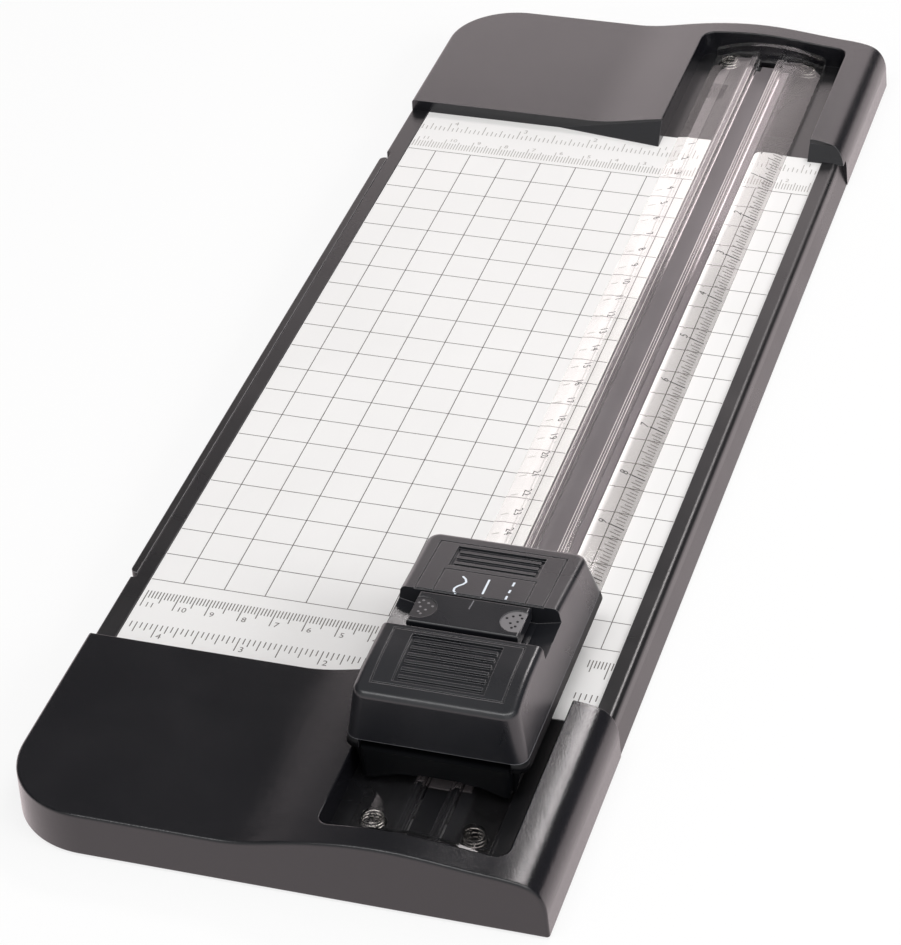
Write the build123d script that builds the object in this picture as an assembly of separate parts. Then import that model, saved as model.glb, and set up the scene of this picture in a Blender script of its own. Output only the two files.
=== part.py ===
"""Rotary paper trimmer: board with two end caps, clear guide, sliding cutter head, pull-out side ruler.

Millimetres, +Z up.  The origin is on the table, at the middle of the footprint.  X runs across the
board and Y runs along the cut, from the front cap to the rear cap.
"""
from build123d import *
import math
import os

# ---- overall -------------------------------------------------------------------------------------
OVERALL_LENGTH = 458.7
OVERALL_WIDTH = 158.9
BOARD_Z = 10.5               # top of the printed sheets above the table
FOOT_DROP = 1.0              # the rubber feet stand out below the skirt by this
WALL = 1.8                   # moulded wall of the caps and the cutter head
FIT_GAP = 0.3                # between moulded pieces that fit together
SEAT_GAP = 0.15              # between flat pieces laid in a recess
SHAFT_GAP = 0.05             # radial, between a shaft and its hole

RIGHT_X = OVERALL_WIDTH / 2
FRONT_Y = -OVERALL_LENGTH / 2
REAR_Y = OVERALL_LENGTH / 2
SKIRT_Z = FOOT_DROP

# ---- side ruler, pulled out from the left edge ---------------------------------------------------
BAR_PROUD = 0.9              # bar stands out past the board's left edge
BAR_WIDTH = 2.3
BAR_FRONT_IN = 34.2          # from the front cap to the bar
BAR_REAR_IN = 34.1
BAR_HEIGHT = 6.8
BAR_END_GAP = 2.3
BAR_REAR_GAP = 4.2
ARM_WIDTH = 14.0
ARM_THICKNESS = 1.8
ARM_REACH = 112.0
ARM_INSET = 38.0             # from each end of the bar to the middle of its arm
ARM_STOP_LENGTH = 5.0
ARM_STOP_WIDTH = 7.0
ARM_STOP_HEIGHT = 1.2
CHANNEL_WALL = 1.3
CHANNEL_LIP = 1.2
CHANNEL_SLOT = 8.0
CHANNEL_FIRST_X = 24.0       # from the bar to the stop's end of the slot

LEFT_X = -RIGHT_X + BAR_PROUD
BAR_INNER_X = -RIGHT_X + BAR_WIDTH

# ---- board ---------------------------------------------------------------------------------------
SHEET_THICKNESS = 0.35
DECK_THICKNESS = 1.8
TRAY_WALL = 2.0
STRIP_WIDTH = 6.3            # raised strip along the left edge
STRIP_RISE = 0.4
RAIL_WIDTH = 5.6             # raised rail along the right edge
RAIL_RISE = 0.6
RAIL_FACE_X = 2.1            # from the right side to the foot of the rail's steep face
RAIL_FACE_DROP = 3.0
RAIL_INSET = 0.25            # rail's skirt inside the face of the caps
RAIL_SIDE_X = 8.6            # from the right side to the sheet's edge
RAIL_ROUND = 2.2
STRIP_ROUND = 0.5
RIGHT_SHEET_SHORT = 3.7      # rear end of the right sheet, ahead of the left sheet's
SHEET_TUCK = 2.2             # rear end of the left sheet under the rear cap
SHEET_CORNER = 3.0

DECK_Z = BOARD_Z - SHEET_THICKNESS
DECK_UNDER_Z = DECK_Z - DECK_THICKNESS
SHEET_LEFT_X = LEFT_X + STRIP_WIDTH
SHEET_RIGHT_X = RIGHT_X - RAIL_SIDE_X

# ---- end caps ------------------------------------------------------------------------------------
FRONT_CAP_DEPTH = 75.0
REAR_CAP_DEPTH = 71.5
CAP_LOW_RISE = 4.2           # flat left part of the caps above the sheets
FRONT_HUMP_RISE = 10.7       # crest of the caps above the sheets
REAR_HUMP_RISE = 9.7
HUMP_CREST_IN = 42.95        # from the right side to the crest
HUMP_WIDTH = 50.5            # from the crest to the flat left part
HUMP_MIDDLE = 30.5           # from the crest to half its height
FLANK_X = 18.0               # from the right side to a point on the flank
FLANK_DROP = 2.2
BROW_X = 8.6
BROW_DROP = 3.2
SHOULDER_X = 4.65
SHOULDER_DROP = 4.55
CHEEK_X = 2.0
CHEEK_DROP = 7.3
KNEE_X = 0.45                # from the right side to the top of the straight side
KNEE_DROP = 2.6
FRONT_CORNER_RADIUS = 25.5
REAR_CORNER_RADIUS = 24.0
CAP_EDGE_ROUND = 0.9
WELL_IN = 13.65              # from the right side to the well
WELL_WIDTH = 52.6
WELL_CORNER_RADIUS = 4.0
FRONT_WELL_LAND = 8.3        # from the front face to the well
REAR_WELL_LAND = 7.6
LIP_REACH = 5.2              # slanted lip in front of the rear cap, at the well
LIP_WIDTH = 37.4
LIP_SLOPE = 34.5             # degrees from upright
WING_LIP_REACH = 3.6
WELL_EDGE_ROUND = 0.45
CAP_BACK_ROUND = 0.35        # rear edge of the front cap
UNDER_CAP_SIDE_IN = 2.4      # board under the caps, in from the inner face of their right side
CAP_BOSS_RADIUS = 3.4
CAP_SCREW_RADIUS = 1.4
CAP_SCREW_HEAD_RADIUS = 2.6
CAP_SCREW_HEAD_HEIGHT = 1.2
CAP_BOSS_EDGE = 22.0         # bosses in from the ends of the caps

FRONT_CAP_BACK_Y = FRONT_Y + FRONT_CAP_DEPTH
REAR_CAP_FACE_Y = REAR_Y - REAR_CAP_DEPTH
BAR_FRONT_Y = FRONT_CAP_BACK_Y + BAR_FRONT_IN
BAR_REAR_Y = REAR_CAP_FACE_Y - BAR_REAR_IN
HUMP_CREST_X = RIGHT_X - HUMP_CREST_IN
HUMP_MIDDLE_X = HUMP_CREST_X - HUMP_MIDDLE
HUMP_START_X = HUMP_CREST_X - HUMP_WIDTH
WELL_RIGHT_X = RIGHT_X - WELL_IN
WELL_LEFT_X = WELL_RIGHT_X - WELL_WIDTH
SKIN = WALL + FIT_GAP        # board's edge under the caps, in from their outer face
UNDER_CAP_RIGHT_X = RIGHT_X - UNDER_CAP_SIDE_IN - SKIN

# ---- cutting line: mat, clear guide and its springs ----------------------------------------------
CUT_IN = 27.05               # from the right wall of the well to the cutting line
MAT_WIDTH = 16.0
MAT_THICKNESS = 1.4
MAT_FRONT_IN = 27.9          # mat's ends inside the guide's ends
MAT_REAR_IN = 7.5
MAT_TAB_WIDTH = 5.0
MAT_TAB_LENGTH = 3.4
DECK_HOLE_WIDTH = 8.0
DECK_HOLE_LENGTH = 4.6
SLOT_HALF = 3.75
RIB_THICKNESS = 2.2
RIB_RISE = 5.2               # heights of the guide above the sheets
WING_RISE = 4.8
GUIDE_HALF = 19.75
WING_EDGE_RISE = 1.5
WING_EDGE_THICKNESS = 0.5
WING_BEND_WIDTH = 4.0
WING_BEND_RISE = 3.0
WING_THICKNESS = 1.4
GUIDE_FOOT_GAP = 0.8         # ribs above the mat
GUIDE_TRAVEL = 0.6
KEYWAY_DEPTH = 0.8
KEYWAY_HEIGHT = 1.3
KEYWAY_RISE = 2.2
KEY_GAP = 0.25
GUIDE_FRONT_GAP = 3.15       # between the guide's ends and the wells
GUIDE_REAR_GAP = 2.25
FRONT_PLATE_THICKNESS = 1.2  # end plates of the guide
REAR_PLATE_THICKNESS = 2.4
END_PLATE_RISE = 7.8
END_PLATE_EDGE_RISE = 4.0
SPRING_SPREAD = 14.1         # guide springs either side of the cutting line
FRONT_SPRING_IN = 10.1       # guide springs inside the guide's ends
REAR_SPRING_IN = 5.5
GUIDE_SPRING_RADIUS = 2.9
GUIDE_SPRING_WIRE = 0.24
GUIDE_SPRING_TURNS = 3
SPRING_POCKET_DEPTH = 1.2
SPRING_POCKET_GAP = 0.6
SPRING_SEAT_RISE = 2.3
SPRING_SEAT_THICKNESS = 0.3
SPIGOT_RADIUS = 1.2
DECK_BOSS_RADIUS = 3.8
DECK_BOSS_HEIGHT = 1.3
GUIDE_SCREW_RADIUS = 0.7
GUIDE_SCREW_HEAD_RADIUS = 2.1
GUIDE_SCREW_HEAD_HEIGHT = 1.0
WINDOW_WIDTH = 5.0
WINDOW_LENGTH = 10.5
WINDOW_X = 14.0              # window in the deck, left of the cutting line
WINDOW_IN = 25.2             # from the guide's rear end to the window's middle

CUT_X = WELL_RIGHT_X - CUT_IN
GUIDE_FRONT_Y = FRONT_Y + FRONT_WELL_LAND + GUIDE_FRONT_GAP
GUIDE_REAR_Y = REAR_Y - REAR_WELL_LAND - GUIDE_REAR_GAP
FRONT_SPRING_Y = GUIDE_FRONT_Y + FRONT_SPRING_IN
REAR_SPRING_Y = GUIDE_REAR_Y - REAR_SPRING_IN
MAT_FRONT_Y = GUIDE_FRONT_Y + MAT_FRONT_IN
MAT_REAR_Y = GUIDE_REAR_Y - MAT_REAR_IN
WINDOW_Y = GUIDE_REAR_Y - WINDOW_IN
RIB_Z = BOARD_Z + RIB_RISE
MAT_UNDER_Z = BOARD_Z - MAT_THICKNESS

# ---- cutter head cover ---------------------------------------------------------------------------
HEAD_OFFSET = 1.55           # middle of the cover, left of the cutting line
HEAD_FRONT_IN = 37.9         # from the front face of the board to the cover
HEAD_LENGTH = 82.5
HEAD_FRONT_LEAN = 0.7
HEAD_REAR_LEAN = 7.5
HEAD_BOTTOM_HALF = 26.05
HEAD_TOP_HALF = 22.8
HEAD_SKIRT_RISE = 11.0       # heights of the cover above the sheets
HEAD_END_SKIRT_RISE = 14.0
HEAD_FRONT_RISE = 29.8
HEAD_REAR_RISE = 29.3
HEAD_RIDGE_RISE = 32.1
HEAD_CORNER_RADIUS = 4.0
HEAD_EDGE_ROUND = 2.0
HEAD_NOTCH_INSET = 4.6
HEAD_TRAVEL = 2.0
SADDLE_IN = 29.0             # from the front of the cover to the saddle
SADDLE_LENGTH = 16.7
SADDLE_DEPTH = 6.1
SADDLE_SIDE_LIFT = 1.5
SADDLE_FLAT_HALF = 16.5
RIDGE_FLAT = 9.0             # level stretch in front of the saddle
TOP_OFFSET = 0.25            # middle of the marks on the top, left of the cover's middle
GRIP_HALF = 12.95
GRIP_DEPTH = 1.0
GRIP_RIB_DEPTH = 0.3
GRIP_RIB_WIDTH = 1.1
GRIP_PITCH = 2.95
FRONT_GRIP_RIBS = 6
REAR_GRIP_RIBS = 3
FRONT_GRIP_LENGTH = 19.4
FRONT_GRIP_IN = 2.9          # from the saddle to the front grip
REAR_GRIP_LENGTH = 10.3
REAR_GRIP_IN = 12.8          # from the rear of the cover to the rear grip
GROOVE_WIDTH = 0.5
GROOVE_DEPTH = 0.4
GROOVE_HALF = 18.8
FRONT_GROOVE_END = 1.6       # border lines beyond the grips
REAR_GROOVE_END = 1.8
TAB_HALF = 13.55
TAB_LENGTH = 12.1            # marked panel behind the saddle
PIN_SPREAD = 15.6
FRONT_PIN_IN = 8.5
REAR_PIN_IN = 16.0
PIN_RADIUS = 1.6
PIN_ROOT_RADIUS = 3.2
COVER_SPRING_RADIUS = 2.4
COVER_SPRING_WIRE = 0.3
COVER_SPRING_TURNS = 5
COVER_SCREW_RADIUS = 0.8
COVER_SCREW_HEAD_RADIUS = 2.4
COVER_SCREW_HEAD_HEIGHT = 1.0
COVER_SCREW_LENGTH = 5.0

HEAD_X = CUT_X - HEAD_OFFSET
TOP_X = HEAD_X - TOP_OFFSET
HEAD_FRONT_Y = FRONT_Y + HEAD_FRONT_IN
HEAD_REAR_Y = HEAD_FRONT_Y + HEAD_LENGTH
SADDLE_FRONT_Y = HEAD_FRONT_Y + SADDLE_IN
SADDLE_REAR_Y = SADDLE_FRONT_Y + SADDLE_LENGTH
FRONT_GRIP_Y = SADDLE_FRONT_Y - FRONT_GRIP_IN
REAR_GRIP_Y = HEAD_REAR_Y - REAR_GRIP_IN
TAB_REAR_Y = SADDLE_REAR_Y + TAB_LENGTH
HEAD_SKIRT_Z = BOARD_Z + HEAD_SKIRT_RISE
HEAD_RIDGE_Z = BOARD_Z + HEAD_RIDGE_RISE
HEAD_FRONT_Z = BOARD_Z + HEAD_FRONT_RISE
HEAD_REAR_Z = BOARD_Z + HEAD_REAR_RISE
SADDLE_Z = HEAD_RIDGE_Z - SADDLE_DEPTH
SADDLE_CEILING_Z = SADDLE_Z - WALL
STATION_Y = (SADDLE_FRONT_Y + SADDLE_REAR_Y) / 2
PIN_PLACES = [
    (HEAD_X + side * PIN_SPREAD, y)
    for side in (-1, 1)
    for y in (HEAD_FRONT_Y + FRONT_PIN_IN, HEAD_REAR_Y - REAR_PIN_IN)
]

# ---- carriage under the cover --------------------------------------------------------------------
CARRIAGE_FOOT_HALF = 22.0
CARRIAGE_WAIST_HALF = 23.5
CARRIAGE_TOP_HALF = 22.1
CARRIAGE_FOOT_RISE = 2.3     # heights of the carriage above the sheets
CARRIAGE_WAIST_RISE = 9.0
CARRIAGE_TOP_RISE = 17.0
CARRIAGE_DECK_THICKNESS = 2.2
CARRIAGE_WALL = 1.5
CARRIAGE_REAR_IN = 6.5       # carriage's rear end ahead of the cover's
NOSE_PROUD = 1.0             # carriage's nose in front of the cover
ARCH_GAP = 0.45
TONGUE_LENGTH = 8.0
TONGUE_RISE = 1.3
PIN_BOSS_RADIUS = 4.1
PIN_BOSS_RISE = 13.4
PIN_POCKET_RISE = 8.3
PIN_POCKET_RADIUS = 2.8
STEM_BOSS_RADIUS = 2.6
STEM_BOSS_RISE = 13.6
STEM_BORE_RISE = 6.9
WHEEL_OPENING_HALF = 4.3
WHEEL_OPENING_GAP = 1.0

CARRIAGE_DECK_Z = RIB_Z + ARCH_GAP + CARRIAGE_DECK_THICKNESS
CARRIAGE_TOP_Z = BOARD_Z + CARRIAGE_TOP_RISE
CARRIAGE_FRONT_Y = HEAD_FRONT_Y + HEAD_FRONT_LEAN + WALL + FIT_GAP
CARRIAGE_REAR_Y = HEAD_REAR_Y - CARRIAGE_REAR_IN
NOSE_Y = HEAD_FRONT_Y - NOSE_PROUD
NOSE_TOP_Z = BOARD_Z + HEAD_END_SKIRT_RISE - HEAD_TRAVEL - FIT_GAP
PIN_BOSS_Z = BOARD_Z + PIN_BOSS_RISE
PIN_POCKET_Z = BOARD_Z + PIN_POCKET_RISE
COVER_SPRING_HEIGHT = 9.2
PIN_ROOT_Z = PIN_BOSS_Z + COVER_SPRING_HEIGHT
STEM_BOSS_Z = BOARD_Z + STEM_BOSS_RISE

# ---- blades and their holders --------------------------------------------------------------------
BLADE_RADIUS = 8.0
BLADE_THICKNESS = 0.5
BLADE_LIFT = 0.15            # blade above the mat with the head and the guide pressed
BLADE_BEVEL = 0.2
HUB_RADIUS = 2.7
HUB_HALF = 0.9
WAVE_COUNT = 12
WAVE_SWING = 0.2
WAVE_DEPTH = 1.2
NOTCH_COUNT = 16
NOTCH_WIDTH = 0.9
NOTCH_DEPTH = 0.8
STATION_PITCH = 17.0         # between the three blades along the slot
SELECT_PITCH = 7.1           # between the three places of the selector
AXLE_RADIUS = 1.2
AXLE_HEAD_RADIUS = 2.0
AXLE_HEAD_THICKNESS = 0.5
AXLE_PLAY = 0.1
HOLDER_GAP = 0.4
HOLDER_PLATE = 1.4
HOLDER_HALF_WIDTH = 4.2
HOLDER_DROP = 2.4
HOLDER_BAR_GAP = 0.4         # bar above the blade
HOLDER_BAR_THICKNESS = 1.6
HOLDER_BAR_WIDTH = 4.0
STEM_RADIUS = 1.3
STEM_LENGTH = 9.6
STEM_SIDE_Y = 7.0
HOLDER_SPRING_RADIUS = 2.0
HOLDER_SPRING_WIRE = 0.25
HOLDER_SPRING_TURNS = 4

BLADE_Z = BOARD_Z + BLADE_LIFT + HEAD_TRAVEL + GUIDE_TRAVEL + BLADE_RADIUS
HOLDER_BAR_Z = BLADE_Z + BLADE_RADIUS + HOLDER_BAR_GAP
HOLDER_TOP_Z = HOLDER_BAR_Z + HOLDER_BAR_THICKNESS

# ---- blade selector ------------------------------------------------------------------------------
SELECTOR_OFFSET = 0.9        # middle of the selector, left of the cover's middle
SELECTOR_HALF = 16.0
SELECTOR_REAR_GAP = 0.5
SELECTOR_FRONT_GAP = 2.6
SELECTOR_THICKNESS = 4.0
SELECTOR_TOP_DROP = 0.2
SELECTOR_EDGE_ROUND = 0.7
SELECTOR_UNDERCUT = 1.2
PAD_RADIUS = 4.7
PAD_DEPTH = 0.3
PAD_IN = 2.1                 # centre of each finger pad inside the slider's end
PAD_REAR = 0.8               # and behind its middle
STEM_SLOT_HALF = 2.4         # half width of the selector's neck along Y
NECK_HALF = 2.2              # half width of the neck along X
PUSHER_HALF = 2.4
PUSHER_REACH = 3.6
PUSHER_GAP = 0.3

SELECTOR_TOP_Z = HEAD_RIDGE_Z - SELECTOR_TOP_DROP
SELECTOR_UNDER_Z = SELECTOR_TOP_Z - SELECTOR_THICKNESS
SELECTOR_REAR_Y = SADDLE_REAR_Y - SELECTOR_REAR_GAP
SELECTOR_FRONT_Y = SADDLE_FRONT_Y + SELECTOR_FRONT_GAP
SELECTOR_X = HEAD_X - SELECTOR_OFFSET
PUSHER_TOP_Z = SADDLE_CEILING_Z - PUSHER_GAP
PUSHER_Z = HOLDER_TOP_Z + PUSHER_GAP

# ---- underside -----------------------------------------------------------------------------------
BOTTOM_RECESS = 0.4
BOTTOM_THICKNESS = 1.6
BOTTOM_CORNER = 18.0
BOTTOM_HEAD_POCKET = 1.0
BOTTOM_SCREW_RADIUS = 1.4
BOTTOM_SCREW_HEAD_RADIUS = 2.7
BOTTOM_SCREW_LENGTH = 4.6
BOTTOM_BOSS_RADIUS = 3.6
FOOT_RADIUS = 6.0
FOOT_ROUND = 0.6
FOOT_SIDE_IN = 21.5          # feet and screws in from the sides and the ends
FOOT_END_IN = 24.4
BOTTOM_SCREW_SIDE_IN = 13.5
BOTTOM_SCREW_END_IN = 51.4
BOTTOM_SCREW_ROWS = 3

FOOT_SPREAD_X = RIGHT_X - FOOT_SIDE_IN
FOOT_SPREAD_Y = REAR_Y - FOOT_END_IN
BOTTOM_SCREW_SPREAD_X = RIGHT_X - BOTTOM_SCREW_SIDE_IN
BOTTOM_SCREW_SPREAD_Y = REAR_Y - BOTTOM_SCREW_END_IN
BOTTOM_Z = SKIRT_Z + BOTTOM_RECESS
BOTTOM_TOP_Z = BOTTOM_Z + BOTTOM_THICKNESS


def box(x0, x1, y0, y1, z0, z1):
    """Block between two corners."""
    middle = ((x0 + x1) / 2, (y0 + y1) / 2, (z0 + z1) / 2)
    return Pos(*middle) * Box(x1 - x0, y1 - y0, z1 - z0)


def post(x, y, z0, z1, radius):
    """Upright cylinder."""
    return Pos(x, y, (z0 + z1) / 2) * Cylinder(radius, z1 - z0)


def pin_x(x0, x1, y, z, radius):
    """Cylinder lying along X."""
    return Pos((x0 + x1) / 2, y, z) * Rot(0, 90, 0) * Cylinder(radius, x1 - x0)


def prism_y(face, y0, y1):
    """Section drawn in X and Z, drawn out along Y."""
    plane = Plane(origin=(0, y1, 0), x_dir=(1, 0, 0), z_dir=(0, -1, 0))
    return extrude(plane * face, amount=y1 - y0)


def prism_x(face, x0, x1):
    """Section drawn in Y and Z, drawn out along X."""
    plane = Plane(origin=(x0, 0, 0), x_dir=(0, 1, 0), z_dir=(1, 0, 0))
    return extrude(plane * face, amount=x1 - x0)


def polygon(points):
    """Flat face with straight sides."""
    return make_face(Polyline(*points, close=True))


def mirrored(points, x):
    """Right half of an outline, given outward from the middle, with its mirror image about x."""
    right = [(x + px, pz) for px, pz in points]
    left = [(x - px, pz) for px, pz in reversed(points)]
    return right + left


def coil(x, y, z0, z1, radius, wire, turns):
    """Compression spring that stands on z0 and reaches z1."""
    height = z1 - z0 - 2 * wire
    path = Helix(pitch=height / turns, height=height, radius=radius)
    section = Plane(origin=path @ 0, z_dir=path % 0) * Circle(wire)
    return Pos(x, y, z0 + wire) * sweep(section, path=path, is_frenet=True)


def slab(x0, x1, y0, y1, z0, z1, radius):
    """Block with rounded upright corners."""
    block = box(x0, x1, y0, y1, z0, z1)
    return fillet(block.edges().filter_by(Axis.Z), radius)


def screw(x, y, z_head, length, radius, head_radius, head_height):
    """Pan-head screw driven upwards; z_head is the lower face of its head."""
    head = post(x, y, z_head, z_head + head_height, head_radius)
    rim = head.edges().filter_by(GeomType.CIRCLE).sort_by(Axis.Z)[0]
    head = fillet(rim, head_height * 0.4)
    shank = post(x, y, z_head + head_height / 2, z_head + head_height + length, radius)
    return head + shank


# ---- end caps ------------------------------------------------------------------------------------
def cap_section(hump_rise, inset):
    """Cross section of a cap; inset moves its skin inwards."""
    low = BOARD_Z + CAP_LOW_RISE - inset
    crest = BOARD_Z + hump_rise - inset
    left = LEFT_X + inset
    right = RIGHT_X - inset
    top = Spline(
        (HUMP_START_X, low),
        (HUMP_MIDDLE_X, (low + crest) / 2),
        (HUMP_CREST_X, crest),
        (right - FLANK_X, crest - FLANK_DROP),
        (right - BROW_X, crest - BROW_DROP),
        (right - SHOULDER_X, crest - SHOULDER_DROP),
        (right - CHEEK_X, crest - CHEEK_DROP),
        (right - KNEE_X, BOARD_Z - KNEE_DROP),
        tangents=((1, 0), (KNEE_X, SKIRT_Z - BOARD_Z + KNEE_DROP)),
    )
    rest = Polyline(
        (right - KNEE_X, BOARD_Z - KNEE_DROP),
        (right, SKIRT_Z),
        (left, SKIRT_Z),
        (left, low),
        (HUMP_START_X, low),
    )
    return make_face(top + rest)


def cap_body(hump_rise, y0, y1, inset, end_y, radius):
    """Outside of a cap; its left corner at end_y is rounded in plan."""
    body = prism_y(cap_section(hump_rise, inset), y0, y1)
    plan = box(LEFT_X + inset, RIGHT_X - inset, y0, y1, SKIRT_Z, BOARD_Z + 2 * FRONT_HUMP_RISE)
    corner = [
        edge
        for edge in plan.edges().filter_by(Axis.Z)
        if edge.center().X < 0 and abs(edge.center().Y - end_y) < SEAT_GAP
    ]
    return body & fillet(corner, radius)


def cap_rim(body, end_y, radius):
    """Edges round the top and the right corner of a cap's outside."""
    rim = []
    for edge in body.edges():
        middle = edge.center()
        at_end = abs(middle.Y - end_y) < SEAT_GAP
        beside_corner = middle.X > LEFT_X + radius + FIT_GAP
        if at_end and beside_corner and middle.Z > SKIRT_Z + WALL:
            rim.append(edge)
        if middle.Z > BOARD_Z + WALL and edge.geom_type == GeomType.CIRCLE:
            rim.append(edge)
        if middle.Z > BOARD_Z + WALL and abs(middle.X - LEFT_X) < SEAT_GAP:
            rim.append(edge)
    return rim


def well_block(y0, y1, grow, z0):
    """Block that cuts a well, or that walls it where grow is a wall."""
    top = BOARD_Z + 2 * FRONT_HUMP_RISE
    radius = WELL_CORNER_RADIUS + grow
    return slab(WELL_LEFT_X - grow, WELL_RIGHT_X + grow, y0, y1, z0, top, radius)


def well_rim(cap, y0, y1):
    """Edges round the top of a cap's well."""
    rim = []
    for edge in cap.edges():
        size = edge.bounding_box()
        beside_well = size.min.X > WELL_LEFT_X - SEAT_GAP and size.max.X < WELL_RIGHT_X + SEAT_GAP
        along_well = size.min.Y > y0 - SEAT_GAP and size.max.Y < y1 + SEAT_GAP
        upright = size.size.X < SEAT_GAP and size.size.Y < SEAT_GAP
        if beside_well and along_well and not upright and size.min.Z > BOARD_Z + CAP_LOW_RISE:
            rim.append(edge)
    return rim


def cap_back_edges(cap):
    """Edges round the top of the front cap's rear face."""
    back = []
    for edge in cap.edges():
        size = edge.bounding_box()
        in_face = size.size.Y < SEAT_GAP and abs(size.max.Y - FRONT_CAP_BACK_Y) < SEAT_GAP
        if in_face and size.max.Z > BOARD_Z + WALL and size.size.X > FIT_GAP:
            back.append(edge)
    return back


def cap_boss_places(front):
    """Places of a cap's screw bosses."""
    if front:
        outer = FRONT_Y + CAP_BOSS_EDGE
        inner = FRONT_CAP_BACK_Y - CAP_BOSS_EDGE
    else:
        outer = REAR_Y - CAP_BOSS_EDGE
        inner = REAR_CAP_FACE_Y + CAP_BOSS_EDGE
    left = LEFT_X + CAP_BOSS_EDGE
    near_well = WELL_LEFT_X - CAP_BOSS_EDGE / 2
    right = UNDER_CAP_RIGHT_X - TRAY_WALL - CAP_SCREW_HEAD_RADIUS - FIT_GAP
    return [(left, outer), (left, inner), (near_well, outer), (near_well, inner), (right, outer)]


def rear_lips():
    """Slanted lips in front of the rear cap, left and right of its well."""
    section = cap_section(REAR_HUMP_RISE, 0)
    stock = prism_y(section, REAR_CAP_FACE_Y - LIP_REACH, REAR_CAP_FACE_Y + WALL)
    stock = stock & box(-RIGHT_X, RIGHT_X, FRONT_Y, REAR_Y, BOARD_Z, BOARD_Z + FRONT_HUMP_RISE)
    lips = []
    yaw = math.degrees(math.atan(LIP_REACH / LIP_WIDTH))
    ends = ((-1, WELL_LEFT_X, LIP_REACH, -yaw), (1, WELL_RIGHT_X, WING_LIP_REACH, 0))
    for side, x, reach, turn in ends:
        foot = (x, REAR_CAP_FACE_Y - reach, BOARD_Z)
        behind = Location(foot) * Rot(0, 0, turn) * Rot(-LIP_SLOPE, 0, 0)
        keep = behind * Pos(0, OVERALL_WIDTH / 2, 0) * Box(2 * OVERALL_WIDTH, OVERALL_WIDTH, OVERALL_WIDTH)
        outer = x + side * OVERALL_WIDTH
        share = box(min(x, outer), max(x, outer), FRONT_Y, REAR_Y, SKIRT_Z, OVERALL_WIDTH)
        lips.append(stock & keep & share)
    return lips


def make_cap(front):
    """End cap: skin, well walls, lips, and screw bosses."""
    if front:
        rise = FRONT_HUMP_RISE
        y0, y1, end_y, inner_y = FRONT_Y, FRONT_CAP_BACK_Y, FRONT_Y, FRONT_CAP_BACK_Y
        left_radius = FRONT_CORNER_RADIUS
        well_y0, well_y1 = FRONT_Y + FRONT_WELL_LAND, inner_y + CAP_BOSS_EDGE
        floor_y0, floor_y1 = y0 + WALL, y1 + WALL
    else:
        rise = REAR_HUMP_RISE
        y0, y1, end_y, inner_y = REAR_CAP_FACE_Y, REAR_Y, REAR_Y, REAR_CAP_FACE_Y
        left_radius = REAR_CORNER_RADIUS
        well_y0, well_y1 = inner_y - CAP_BOSS_EDGE, REAR_Y - REAR_WELL_LAND
        floor_y0, floor_y1 = y0 - WALL, y1 - WALL
    outside = cap_body(rise, y0, y1, 0, end_y, left_radius)
    outside = fillet(cap_rim(outside, end_y, left_radius), CAP_EDGE_ROUND)
    inward = WALL if front else -WALL
    cavity = cap_body(rise, y0 + WALL, y1 - WALL, WALL, end_y + inward, left_radius - WALL)
    under_x = UNDER_CAP_RIGHT_X + FIT_GAP + SEAT_GAP
    under = box(LEFT_X + WALL, under_x, floor_y0, floor_y1, SKIRT_Z - WALL, BOARD_Z)
    under = under & (
        box(-RIGHT_X, RIGHT_X, y0 - WALL, y1 + WALL, SKIRT_Z - WALL, BOARD_Z)
        - cap_corner_waste(end_y, left_radius)
    )
    cap = outside - cavity - under
    cap = cap + (well_block(well_y0 - WALL, well_y1 + WALL, WALL, DECK_Z) & outside)
    for x, y in cap_boss_places(front):
        boss = post(x, y, DECK_Z, BOARD_Z + rise, CAP_BOSS_RADIUS)
        cap = cap + (boss & outside)
    if not front:
        for lip in rear_lips():
            cap = cap + lip
    cap = cap - well_block(well_y0, well_y1, 0, SKIRT_Z - WALL)
    cap = fillet(well_rim(cap, well_y0, well_y1), WELL_EDGE_ROUND)
    for x, y in cap_boss_places(front):
        cap = cap - post(x, y, DECK_Z - WALL, BOARD_Z + CAP_LOW_RISE - WALL, CAP_SCREW_RADIUS + SHAFT_GAP)
    if front:
        cap = fillet(cap_back_edges(cap), CAP_BACK_ROUND)
    sheet_x0 = SHEET_LEFT_X - WALL
    sheet_x1 = SHEET_RIGHT_X + WALL
    sheet_y1 = REAR_CAP_FACE_Y + SHEET_TUCK + SEAT_GAP
    return cap - box(sheet_x0, sheet_x1, FRONT_CAP_BACK_Y - WALL, sheet_y1, 0, BOARD_Z)


def cap_corner_waste(end_y, left_radius):
    """Corner of the underside that stays solid behind a cap's big rounded corner."""
    inward = 1 if end_y < 0 else -1
    reach = left_radius
    x0 = LEFT_X
    x1 = LEFT_X + reach
    y0 = min(end_y, end_y + inward * reach)
    y1 = max(end_y, end_y + inward * reach)
    block = box(x0, x1, y0, y1, SKIRT_Z - 2 * WALL, BOARD_Z + WALL)
    round_part = post(x1, end_y + inward * reach, SKIRT_Z - 3 * WALL, BOARD_Z + 2 * WALL, reach - WALL)
    return block - round_part


# ---- board ---------------------------------------------------------------------------------------
def board_plan(inset, z0, z1):
    """Block with the board's outline under the caps, moved in by inset."""
    x0 = LEFT_X + SKIN + inset
    x1 = UNDER_CAP_RIGHT_X - inset
    block = box(x0, x1, FRONT_Y + SKIN + inset, REAR_Y - SKIN - inset, z0, z1)
    for y, radius in ((FRONT_Y, FRONT_CORNER_RADIUS), (REAR_Y, REAR_CORNER_RADIUS)):
        edges = [
            edge
            for edge in block.edges().filter_by(Axis.Z)
            if edge.center().X < 0 and edge.center().Y * y > 0
        ]
        block = fillet(edges, radius - SKIN - inset)
    return block


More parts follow.
